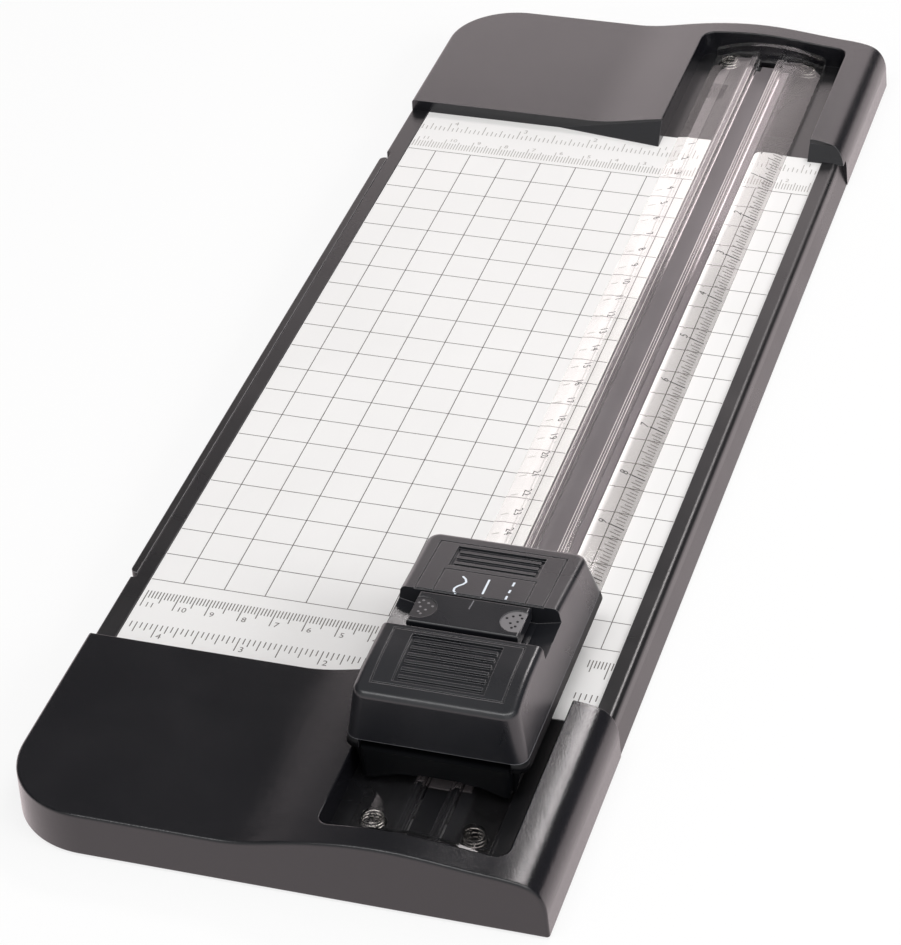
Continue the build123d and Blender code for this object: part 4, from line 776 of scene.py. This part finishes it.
@dataclass
class Skin:
    """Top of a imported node, which fine detail is laid on.

    Attributes:
        tree: Faces of the node, in millimetres.
    """

    tree: BVHTree

    @classmethod
    def of(cls, name: str) -> "Skin":
        """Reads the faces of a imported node.

        Args:
            name: The node.

        Returns:
            Its skin.
        """
        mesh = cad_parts[name].data
        corners = [vert.co / MM for vert in mesh.vertices]
        faces = [list(face.vertices) for face in mesh.polygons]
        return cls(BVHTree.FromPolygons(corners, faces))

    def height(self, x: float, y: float) -> float:
        """Gives the height of the top at a place.

        Args:
            x: Its X.
            y: Its Y.

        Returns:
            Its Z, or nought beside the node.
        """
        place = self.tree.ray_cast(Vector((x, y, ABOVE_ALL)), Vector((0.0, 0.0, -1.0)))[0]
        return place.z if place else 0.0


def stepped(start: Flat, end: Flat, step: float) -> list[Flat]:
    """Divides a straight line.

    Args:
        start: Its first point.
        end: Its last point.
        step: Greatest distance between two points.

    Returns:
        The points.
    """
    count = max(1, math.ceil(math.dist(start, end) / step))
    return [tuple(a + (b - a) * i / count for a, b in zip(start, end)) for i in range(count + 1)]


# ---- printing


@dataclass
class RulerBand:
    """One printed ruler across a sheet.

    Attributes:
        zero: X of its nought.
        step: Distance from one figure to the next; negative runs to the left.
        parts: Ticks in a step.
        base_y: Y where every tick starts.
        lengths: Tick length for each divisor of the parts, longest first.
        figure_y: Y of the figures' middle.
        figure_height: Height of the figures; nought leaves them off.
        finish: Finish of its ink.
        from_x: Least X of its ticks.
    """

    zero: float
    step: float
    parts: int
    base_y: float
    lengths: dict[int, float]
    figure_y: float
    figure_height: float
    finish: Finish
    from_x: float = -100.0


@dataclass
class Printing:
    """Grid, rulers and figures on the two sheets.

    Attributes:
        palette: The materials.
        top: Z of the sheets.
        grid: Side of a grid square.
        grid_x: X of the first upright line.
        grid_y: Y of the first cross line.
        rows: Number of squares from front to back.
        line: Width of a grid line.
        tick: Width of a ruler tick.
        left_x: Left and right limits of the left sheet's printing.
        right_x: Left and right limits of the right sheet's printing.
        nought_reach: How far beside a sheet a ruler's nought may lie.
        figure_gap: X from a tick to the side of its figures.
        figure_half: Half a figure's width, as a share of its height.
        figure_end: Reach of the last figures past their middle, as a share of their height.
        figure_over: How far that reach may pass the limit.
    """

    palette: Palette
    top: float = 10.5
    grid: float = 12.7
    grid_x: float = -62.05
    grid_y: float = -121.45
    rows: int = 20
    line: float = 0.28
    tick: float = 0.32
    left_x: Flat = (-72.0, 30.2)
    right_x: Flat = (47.3, 70.6)
    nought_reach: float = 60.0
    figure_gap: float = 1.25
    figure_half: float = 0.3
    figure_end: float = 0.4
    figure_over: float = 1.0

    def lay(self, sketch: Sketch, x: Flat, y: Flat) -> None:
        """Lays one printed bar on the sheets."""
        sketch.bar(x, y, (self.top - INK_SINK, self.top + INK_THICK))

    def draw_grid(self, sketch: Sketch, across: Flat) -> None:
        """Draws the squares between two X places.

        Args:
            sketch: The piece that takes the lines.
            across: Left and right limits.
        """
        half = self.line / 2
        end_y = self.grid_y + self.rows * self.grid
        for row in range(self.rows + 1):
            y = self.grid_y + row * self.grid
            self.lay(sketch, across, (y - half, y + half))
        for count in range(math.ceil((across[1] - self.grid_x) / self.grid)):
            x = self.grid_x + count * self.grid
            if x > across[0]:
                self.lay(sketch, (x - half, x + half), (self.grid_y, end_y))

    def draw_band(self, sketch: Sketch, band: RulerBand, across: Flat) -> None:
        """Draws one ruler's ticks and figures.

        Args:
            sketch: The piece that takes them.
            band: The ruler.
            across: Left and right limits.
        """
        half = self.tick / 2
        pitch = band.step / band.parts
        left = max(across[0], band.from_x) + half
        right = across[1] - half
        reach = across[1] - across[0] + self.nought_reach
        for count in range(math.ceil(reach / abs(pitch))):
            x = band.zero + count * pitch
            if not left < x < right:
                continue
            ends = sorted((band.base_y, band.base_y + by_divisor(band.lengths, count)))
            self.lay(sketch, (x - half, x + half), (ends[0], ends[1]))
            number, rest = divmod(count, band.parts)
            if rest or not number or not band.figure_height:
                continue
            figures = str(number)
            height = band.figure_height
            middle = x + self.figure_gap + self.figure_half * height * len(figures)
            if middle + self.figure_end * height < right + self.figure_over:
                sketch.write(figures, (middle, band.figure_y), self.top + INK_THICK, height)

    def bands(self, left: bool) -> list[RulerBand]:
        """Gives the rulers of one sheet.

        Args:
            left: True for the left sheet.

        Returns:
            Centimetre and inch rulers at the front and the rear.
        """
        centi = {10: -7.5, 5: -5.2, 1: -3.3}
        inch = {8: -6.0, 4: -4.5, 2: -3.4, 1: -2.6}
        rear_centi = {10: 6.15, 5: 5.0, 1: 3.85}
        rear_inch = {8: 5.4, 4: 4.2, 2: 3.0, 1: 2.3}
        if left:
            return [
                RulerBand(39.1, -10.0, 10, -126.9, centi, -133.5, 2.25, Finish.INK),
                RulerBand(39.1, -INCH, INCH_PARTS, -141.6, inch, -146.7, 2.4, Finish.INK),
                RulerBand(39.5, -10.0, 10, 134.65, rear_centi, 140.5, 2.1, Finish.FAINT_INK),
                RulerBand(39.6, -INCH, INCH_PARTS, 146.5, rear_inch, 151.9, 2.3, Finish.FAINT_INK),
            ]
        return [
            RulerBand(39.3, 10.0, 10, -126.9, centi, 0.0, 0.0, Finish.INK, 62.2),
            RulerBand(39.33, INCH, INCH_PARTS, -141.8, inch, 0.0, 0.0, Finish.INK, 62.2),
            RulerBand(39.9, 10.0, 10, 134.65, rear_centi, 140.5, 2.1, Finish.FAINT_INK),
            RulerBand(39.9, INCH, INCH_PARTS, 146.5, rear_inch, 151.9, 2.3, Finish.FAINT_INK),
        ]

    def build(self) -> None:
        """Builds the printing of both sheets."""
        for side, across in (("left", self.left_x), ("right", self.right_x)):
            grid = Sketch(f"printed_grid_{side}")
            self.draw_grid(grid, across)
            grid.finish(self.palette.get(Finish.INK), "base", "sheet")
            for finish, place in ((Finish.INK, "front"), (Finish.FAINT_INK, "rear")):
                bands = Sketch(f"printed_rulers_{place}_{side}")
                for band in self.bands(side == "left"):
                    if band.finish is finish:
                        self.draw_band(bands, band, across)
                bands.finish(self.palette.get(finish), "base", "sheet")


# ---- the sub-assemblies


@dataclass
class Board:
    """Tray, caps, sheets, mat and what holds them.

    Attributes:
        palette: The materials.
        pieces: Finish and names of its nodes.
    """

    palette: Palette
    pieces: tuple[tuple[Finish, tuple[str, ...]], ...] = (
        (Finish.BOARD, ("base_tray", "bottom_cover")),
        (Finish.CAP, ("front_cap", "rear_cap")),
        (Finish.SHEET, ("sheet_left", "sheet_right")),
        (Finish.MAT, ("cutting_mat",)),
        (Finish.STEEL, ("bottom_screws", "cap_screws", "guide_screws")),
        (Finish.SPRING, ("guide_springs",)),
        (Finish.RUBBER, ("rubber_feet",)),
        (Finish.RULER, ("side_ruler",)),
    )

    def build(self) -> None:
        """Dresses the board and prints its sheets."""
        for finish, names in self.pieces:
            self.palette.dress(finish, *names)
        Printing(self.palette).build()


@dataclass
class Guide:
    """Clear guide over the cutting line, with an inch ruler and a centimetre ruler on its wings.

    Attributes:
        palette: The materials.
        bends: X of the wings' bends.
        zero: Y of both rulers' nought.
        front: Least Y of the ticks.
        lift: Height of the print above the wings.
        inch_figure: X of the inch figures' middle, and their height.
        inch_tick: X of the ends of the inch ruler's ticks.
        inch_line: X of the ends of the line at each inch.
        centi_step: Length of a centimetre.
        centi_figure: X of the centimetre figures' middle, and their height.
        centi_line_x: X of the line through those figures.
        centi_line_gap: Y from nought to the rear end of that line.
        centi_tick: X of the ends of the centimetre ruler's ticks.
        halves: Half the width of an inch tick, an inch line, a centimetre tick and the line.
        rib_lines: X and width of each painted highlight line along the ribs.
        rib_ends: Y of their front and rear ends.
        skin: Top of the guide, which the print lies on.
    """

    palette: Palette
    bends: tuple[float, ...] = (23.0, 27.0, 50.5, 54.5)
    zero: float = 160.9
    front: float = -186.0
    lift: float = 0.02
    inch_figure: Flat = (51.5, 2.7)
    inch_tick: Flat = (53.5, 57.5)
    inch_line: Flat = (53.0, 57.9)
    centi_step: float = 10.0
    centi_figure: Flat = (25.5, 2.6)
    centi_line_x: float = 26.1
    centi_line_gap: float = 5.0
    centi_tick: Flat = (20.2, 22.6)
    halves: tuple[float, float, float, float] = (0.2, 0.24, 0.15, 0.07)
    rib_lines: tuple[Flat, ...] = (
        (33.05, 0.25), (34.75, 0.2), (42.75, 0.2), (43.6, 0.14), (44.45, 0.22)
    )
    rib_ends: Flat = (-185.0, 205.0)
    skin: Skin = field(default_factory=lambda: Skin.of("clear_guide"))

    def lay(self, sketch: Sketch, finish: Finish) -> None:
        """Bends a flat print onto the wings and finishes it."""
        sketch.split(self.bends)
        sketch.drape(self.skin, self.lift)
        sketch.finish(self.palette.get(finish), "guide", "clear_plastic")

    def draw_ribs(self) -> None:
        """Lays painted highlight lines along the edges of the slot's ribs."""
        lines = Sketch("guide_rib_lines")
        for x, width in self.rib_lines:
            lines.bar((x - width / 2, x + width / 2), self.rib_ends)
        self.lay(lines, Finish.FROST)

    def draw_inches(self) -> None:
        """Prints the inch ruler of the right wing."""
        ticks = Sketch("guide_inch_ticks")
        figures = Sketch("guide_inch_figures")
        tick_half, line_half = self.halves[:2]
        figure_x, height = self.inch_figure
        under_head = 4
        for count in range(under_head, round((self.zero - self.front) / INCH * INCH_PARTS)):
            y = self.zero - count * INCH / INCH_PARTS
            whole, rest = divmod(count, INCH_PARTS)
            if rest:
                near = self.inch_tick[0] + by_divisor(INCH_STARTS, rest)
                ticks.bar((near, self.inch_tick[1]), (y - tick_half, y + tick_half))
                continue
            figures.bar(self.inch_line, (y - line_half, y + line_half))
            figures.write(str(whole), (figure_x, y), INK_THICK, height, 90.0)
        self.lay(ticks, Finish.INK)
        self.lay(figures, Finish.FIGURE_INK)

    def draw_centimetres(self) -> None:
        """Prints the centimetre ruler of the left wing."""
        ticks = Sketch("guide_centimetre_ticks")
        figures = Sketch("guide_centimetre_figures")
        tick_half, line_half = self.halves[2:]
        figure_x, height = self.centi_figure
        for count in range(1, round((self.zero - self.front) / self.centi_step)):
            y = self.zero - count * self.centi_step
            ticks.bar(self.centi_tick, (y - tick_half, y + tick_half))
            figures.write(str(count), (figure_x, y), INK_THICK, height, -90.0)
        line = (self.centi_line_x - line_half, self.centi_line_x + line_half)
        ticks.bar(line, (self.front, self.zero - self.centi_line_gap))
        self.lay(ticks, Finish.FAINT_INK)
        self.lay(figures, Finish.FIGURE_INK)

    def build(self) -> None:
        """Dresses the guide and prints its rulers."""
        self.palette.dress(Finish.CLEAR, "clear_guide")
        self.draw_inches()
        self.draw_centimetres()
        self.draw_ribs()


@dataclass
class CutterHead:
    """Cover, carriage, selector and blades.

    Attributes:
        palette: The materials.
        wave: Line of the wave mark.
        straight: Line of the straight mark.
        dashes: Lines of the dashed mark.
        pointer: Line of the selector's pointer.
        mark: Width of the marks.
        pointer_width: Width of the pointer.
        bead_rise: Height of the marks and the pointer.
        pad_radius: Radius of the selector's finger pads.
        pads: Middles of the left and the right pad.
        selector_x: X of the selector's ends.
        pad_dots: Dots of the right pad, from its middle.
        dot_radius: Radius of the dots.
        dot_flat: Height of a dot, as a share of its radius.
        seam: Z of the edges of the light line painted round the cover along its seam, as a
            highlight.
        hem: Z of the edges of the band of painted shade under it.
        lifts: How far a pad, a dot, the seam's painted highlight and the band of painted shade
            stand off.
        weld: Distance under which two corners of the cover are one.
        level: Upward share of a normal from which a face is no side.
        outward: Least reach of a side's normal away from the middle.
    """

    palette: Palette
    wave: tuple[Flat, ...] = (
        (29.7, -136.7), (30.9, -137.9), (31.45, -139.3), (30.9, -140.6),
        (29.8, -141.8), (29.2, -143.1), (29.35, -144.5), (30.2, -145.4),
    )
    straight: tuple[Flat, Flat] = ((37.35, -136.4), (37.55, -145.3))
    dashes: tuple[tuple[Flat, Flat], ...] = (
        ((44.5, -135.9), (44.45, -137.9)),
        ((44.45, -139.9), (44.4, -141.5)),
        ((44.4, -143.1), (44.4, -144.9)),
    )
    pointer: tuple[Flat, Flat] = ((36.05, -147.3), (35.75, -151.3))
    mark: float = 0.62
    pointer_width: float = 0.4
    bead_rise: float = 0.05
    pad_radius: float = 4.6
    pads: tuple[Flat, Flat] = ((22.4, -153.3), (50.2, -153.3))
    selector_x: Flat = (20.4, 52.2)
    pad_dots: tuple[Flat, ...] = (
        (-3.2, 1.1), (-1.7, 2.2), (0.0, 3.1), (-1.7, -0.8),
        (0.1, 0.2), (0.9, 1.9), (0.0, -1.9), (-0.8, -2.7),
    )
    dot_radius: float = 0.42
    dot_flat: float = 0.3
    seam: Flat = (24.42, 24.62)
    hem: Flat = (21.51, 24.4)
    lifts: tuple[float, float, float, float] = (0.03, 0.05, 0.03, 0.015)
    weld: float = 0.002
    level: float = 0.6
    outward: float = 8.0

    def lay_lines(
        self,
        sketch: Sketch,
        skin: Skin,
        finish: Finish,
        body: str,
        lines: Iterable[list[Flat]],
        width: float,
    ) -> None:
        """Lays thin lines on a skin.

        Args:
            sketch: The piece that takes them.
            skin: The skin.
            finish: Finish of the lines.
            body: The body that carries them.
            lines: Points of each line.
            width: Their width.
        """
        for line in lines:
            sketch.bead(line, width, self.bead_rise)
        sketch.drape(skin, 0.0)
        sketch.finish(self.palette.get(finish), body, "head_plastic", smooth_angle=40.0)

    def draw_marks(self) -> None:
        """Prints the signs of the three cuts behind the selector."""
        wave: list[Flat] = []
        for start, end in zip(self.wave, self.wave[1:]):
            wave += stepped(start, end, step=0.8)[:-1]
        lines = [wave + [self.wave[-1]], stepped(*self.straight, step=1.5)]
        lines += [stepped(*dash, step=1.0) for dash in self.dashes]
        marks = Sketch("cut_marks")
        skin = Skin.of("head_cover")
        self.lay_lines(marks, skin, Finish.WHITE_INK, "cover", lines, self.mark)

    def draw_pads(self) -> None:
        """Lays the dotted finger pads and the pointer on the selector."""
        skin = Skin.of("blade_selector")
        pad_lift, dot_lift = self.lifts[:2]
        sides = (
            ("left", Finish.PAD, Finish.PAD_PALE, 1.0),
            ("right", Finish.PAD_PALE, Finish.SHADE, -1.0),
        )
        for side, (x, y), end_x in zip(sides, self.pads, self.selector_x):
            name, finish, dot_finish, away = side
            plate = Sketch(f"selector_pad_{name}")
            bmesh.ops.create_circle(plate.bm, cap_ends=True, segments=40, radius=self.pad_radius)
            bmesh.ops.translate(plate.bm, verts=plate.bm.verts, vec=(x, y, 0.0))
            cut(plate.bm, (end_x, 0.0, 0.0), (-away, 0.0, 0.0), clear=True)
            plate.drape(skin, pad_lift)
            plate.finish(self.palette.get(finish), "selector", "head_plastic")
            dots = Sketch(f"selector_dots_{name}")
            for dot_x, dot_y in self.pad_dots:
                place = Matrix.Translation((x - away * dot_x, y + dot_y, 0.0))
                bmesh.ops.create_uvsphere(
                    dots.bm, u_segments=10, v_segments=5, radius=self.dot_radius, matrix=place
                )
            bmesh.ops.scale(dots.bm, vec=(1.0, 1.0, self.dot_flat), verts=dots.bm.verts)
            dots.drape(skin, dot_lift)
            dotted = self.palette.get(dot_finish)
            dots.finish(dotted, "selector", "head_plastic", smooth_angle=60.0)
        pointer = Sketch("selector_pointer")
        lines = [stepped(*self.pointer, step=1.0)]
        self.lay_lines(pointer, skin, Finish.FAINT_MARK, "selector", lines, self.pointer_width)

    def lay_band(self, name: str, heights: Flat, lift: float, finish: Finish) -> None:
        """Lays a thin band round the cover, between two heights.

        Args:
            name: Name of the piece.
            heights: Z of its lower and its upper edge.
            lift: How far it stands off the cover.
            finish: Its finish.
        """
        sketch = Sketch(name)
        bm = sketch.bm
        bm.from_mesh(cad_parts["head_cover"].data)
        bmesh.ops.scale(bm, vec=(1 / MM, 1 / MM, 1 / MM), verts=bm.verts)
        bmesh.ops.remove_doubles(bm, verts=bm.verts, dist=self.weld)
        for z, way in zip(heights, (-1.0, 1.0)):
            cut(bm, (0.0, 0.0, z), (0.0, 0.0, way), clear=True)
        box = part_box("head_cover")
        middle = sum((Vector(corner) for corner in box), Vector()) / 2 / MM
        inner = []
        for face in bm.faces:
            out = face.calc_center_median() - middle
            out.z = 0.0
            if abs(face.normal.z) > self.level or face.normal.dot(out) < self.outward:
                inner.append(face)
        bmesh.ops.delete(bm, geom=inner, context="FACES")
        bm.normal_update()
        for vert in bm.verts:
            vert.co += vert.normal * lift
        bmesh.ops.solidify(bm, geom=bm.faces[:], thickness=lift)
        sketch.finish(self.palette.get(finish), "cover", "head_plastic")

    def build(self) -> None:
        """Dresses the head and lays its marks."""
        self.palette.dress(Finish.HEAD, "head_cover", "blade_selector")
        self.palette.dress(Finish.SHADE, "carriage")
        self.palette.dress(Finish.SPRING, "cover_springs")
        self.palette.dress(Finish.STEEL, "cover_screws")
        for kind in ("straight", "wave", "perforating"):
            self.palette.dress(Finish.RULER, f"{kind}_holder")
            self.palette.dress(Finish.SPRING, f"{kind}_spring")
            self.palette.dress(Finish.STEEL, f"{kind}_axle", f"{kind}_blade")
        self.draw_marks()
        self.draw_pads()
        seam_lift, shade_band_lift = self.lifts[2:]
        # Painted highlight: a light line along the cover's seam.
        self.lay_band("cover_seam_highlight", self.seam, seam_lift, Finish.FAINT_MARK)
        # Painted shade: a near-black band round the cover under the seam.
        self.lay_band("cover_shade_band", self.hem, shade_band_lift, Finish.SHADE)


# ---- studio


def window(nodes: Nodes, angle: Socket, limits: Flat, fade: float) -> Socket:
    """Builds the mask of a range of angles.

    Args:
        nodes: The world's nodes.
        angle: The angle, in radians.
        limits: Lower and upper limit in degrees.
        fade: Degrees from a limit to where the mask is whole or gone.

    Returns:
        The mask, 1 inside the limits.
    """
    low, high = (math.radians(limit) for limit in limits)
    soft = math.radians(fade)
    rise = nodes.spread(angle, low - soft, low + soft)
    fall = nodes.spread(angle, high - soft, high + soft, 1.0, 0.0)
    return nodes.math("MULTIPLY", rise, fall)


@dataclass(frozen=True)
class Panel:
    """One soft box, in metres.

    Attributes:
        name: Its name.
        place: Its middle.
        aim: Where it points.
        size: Its width and height.
        strength: Light of its face, where 1 shows as white.
        tone: Linear colour of its light.
        mirrored: True shows it in reflections.
        lights: True lets it light matt surfaces.
    """

    name: str
    place: Point
    aim: Point
    size: Flat
    strength: float
    tone: Point = (1.0, 1.0, 1.0)
    mirrored: bool = True
    lights: bool = True


@dataclass
class Studio:
    """Floor, lights, surroundings and camera.

    Attributes:
        eye: Place of the camera.
        right: Its right hand direction.
        down: Its downward direction.
        forward: Where it looks.
        focal_pixels: Its focal length in pixels of the picture.
        sky_height: Degrees above the horizon between which the sky brightens.
        sky_light: Light of the sky below and above them.
        front_y: Y of the directions between which the front brightens.
        front_light: Light that the front adds.
        glow_bearing: Limits in degrees of the glow, from straight behind towards the right.
        glow_height: Its limits in degrees above the horizon.
        glow_fades: Degrees over which its sides and its ends fade.
        glow_light: Light that it adds.
        floor_half: Half the side of the floor in metres.
        floor_grey: Tone of the floor, and its roughness.
        floor_mirrored: Light of the floor in reflections.
        floor_seen: How far the camera sees it as plain white.
        panels: The soft boxes.
    """

    eye: Point = (271.36, -864.19, 635.06)
    right: Point = (0.95639606, 0.28921563, -0.04075399)
    down: Point = (0.13881867, -0.57288245, -0.80779643)
    forward: Point = (-0.2569746, 0.76691592, -0.58805105)
    focal_pixels: float = 3471.93
    sky_height: Flat = (38.0, 60.0)
    sky_light: Flat = (0.1, 0.35)
    front_y: Flat = (-0.2, -0.8)
    front_light: float = 0.6
    glow_bearing: Flat = (80.0, 178.0)
    glow_height: Flat = (12.0, 60.0)
    glow_fades: Flat = (12.0, 8.0)
    glow_light: float = 0.3
    floor_half: float = 3.0
    floor_grey: float = 0.9
    floor_mirrored: float = 1.25
    floor_seen: float = 0.8
    panels: tuple[Panel, ...] = (
        Panel(
            "backdrop_panel", (-0.72, 1.0, 0.31), (-0.72, 0.0, 0.31), (2.15, 0.62), 1.8, WARM,
            lights=False,
        ),
        Panel(
            "strip_panel", (0.24, 1.0, 1.05), (0.05, -0.19, 0.0), (0.36, 0.27), 16.0,
            (1.0, 0.95, 0.95),
        ),
        Panel("top_panel", (0.15, -0.55, 1.6), (0.0, -0.05, 0.0), (1.9, 0.6), 3.7),
        Panel(
            "right_panel", (1.5, -0.25, 0.7), (0.05, -0.05, 0.0), (1.4, 0.8), 4.0, mirrored=False
        ),
    )

    def build_camera(self) -> None:
        """Builds the camera."""
        data = bpy.data.cameras.new("camera")
        data.sensor_width = SENSOR
        data.lens = self.focal_pixels / IMAGE_LONG_SIDE * SENSOR
        data.clip_start = 0.05
        data.clip_end = 50.0
        camera = link_new("camera", data)
        up, back = ([-v for v in way] for way in (self.down, self.forward))
        axes = Matrix((self.right, up, back)).transposed()
        camera.matrix_world = Matrix.Translation(Vector(self.eye) * MM) @ axes.to_4x4()
        bpy.context.scene.camera = camera

    def build_world(self) -> None:
        """Builds the surroundings: dim behind, paler overhead, in front and at the right."""
        world = bpy.data.worlds.new("studio")
        world.use_nodes = True
        bpy.context.scene.world = world
        nodes = Nodes(world.node_tree)
        world.node_tree.nodes.clear()
        way = nodes.add("ShaderNodeTexCoord").outputs["Generated"]
        parts = nodes.add("ShaderNodeSeparateXYZ", {0: way})
        bearing = nodes.math("ARCTAN2", parts.outputs["X"], parts.outputs["Y"])
        height = nodes.math("ARCSINE", parts.outputs["Z"])
        low, high = (math.radians(angle) for angle in self.sky_height)
        light = nodes.spread(height, low, high, *self.sky_light)
        front = nodes.spread(parts.outputs["Y"], *self.front_y, 0.0, self.front_light)
        light = nodes.math("ADD", light, front)
        sides = window(nodes, bearing, self.glow_bearing, self.glow_fades[0])
        ends = window(nodes, height, self.glow_height, self.glow_fades[1])
        glow = nodes.math("MULTIPLY", nodes.math("MULTIPLY", sides, ends), self.glow_light)
        light = nodes.math("ADD", light, glow)
        tone = nodes.add("ShaderNodeCombineColor", {0: light, 1: light, 2: light}).outputs[0]
        soft = nodes.add("ShaderNodeBackground", {"Color": tone, "Strength": 1.0})
        plain = nodes.add("ShaderNodeBackground", {"Color": WHITE, "Strength": 1.0})
        seen = nodes.add("ShaderNodeLightPath").outputs["Is Camera Ray"]
        end = nodes.add("ShaderNodeOutputWorld")
        nodes.fill(end, {"Surface": nodes.choose(seen, soft, plain)})

    def build_floor(self) -> None:
        """Builds the pale floor, which keeps the object's shadow."""
        bm = bmesh.new()
        bmesh.ops.create_grid(bm, x_segments=1, y_segments=1, size=self.floor_half)
        mesh = bpy.data.meshes.new("floor")
        bm.to_mesh(mesh)
        bm.free()
        floor = link_new("floor", mesh)
        material, nodes, shader = new_material("floor_white")
        grey = self.floor_grey
        tone = (grey, grey, grey, 1.0)
        nodes.fill(shader, {"Base Color": tone, "Roughness": grey, "Specular IOR Level": 0.0})
        path = nodes.add("ShaderNodeLightPath").outputs
        bright = nodes.spread(path["Is Glossy Ray"], 0.0, 1.0, 1.0, self.floor_mirrored)
        tone = nodes.mix(path["Is Glossy Ray"], WHITE, (*WARM, 1.0))
        glow = nodes.add("ShaderNodeEmission", {"Color": tone, "Strength": bright})
        seen = nodes.math("MULTIPLY", path["Is Camera Ray"], self.floor_seen)
        for kind in ("Is Glossy Ray", "Is Transmission Ray"):
            seen = nodes.math("MAXIMUM", seen, path[kind])
        end = nodes.tree.nodes["Material Output"]
        nodes.fill(end, {"Surface": nodes.choose(seen, shader, glow)})
        material.cycles.emission_sampling = "NONE"
        mesh.materials.append(material)

    def add_panel(self, panel: Panel) -> None:
        """Adds a soft box.

        Args:
            panel: The soft box.
        """
        data = bpy.data.lights.new(panel.name, "AREA")
        data.shape = "RECTANGLE"
        data.size, data.size_y = panel.size
        data.color = panel.tone
        data.energy = panel.strength * math.pi * panel.size[0] * panel.size[1]
        lamp = link_new(panel.name, data)
        way = (Vector(panel.aim) - Vector(panel.place)).to_track_quat("-Z", "Y")
        lamp.matrix_world = Matrix.Translation(panel.place) @ way.to_matrix().to_4x4()
        lamp.visible_glossy = panel.mirrored
        lamp.visible_diffuse = panel.lights

    def build(self) -> None:
        """Builds the studio."""
        self.build_camera()
        self.build_world()
        self.build_floor()
        for panel in self.panels:
            self.add_panel(panel)
        bpy.context.scene.view_settings.view_transform = "Standard"
        log.info("studio ready")


def main() -> None:
    """Builds the dressed trimmer and its studio."""
    logging.basicConfig(level=logging.INFO, format="%(name)s: %(message)s")
    Studio().build()
    palette = Palette()
    Board(palette).build()
    Guide(palette).build()
    CutterHead(palette).build()


if __name__ == "__main__":
    main()
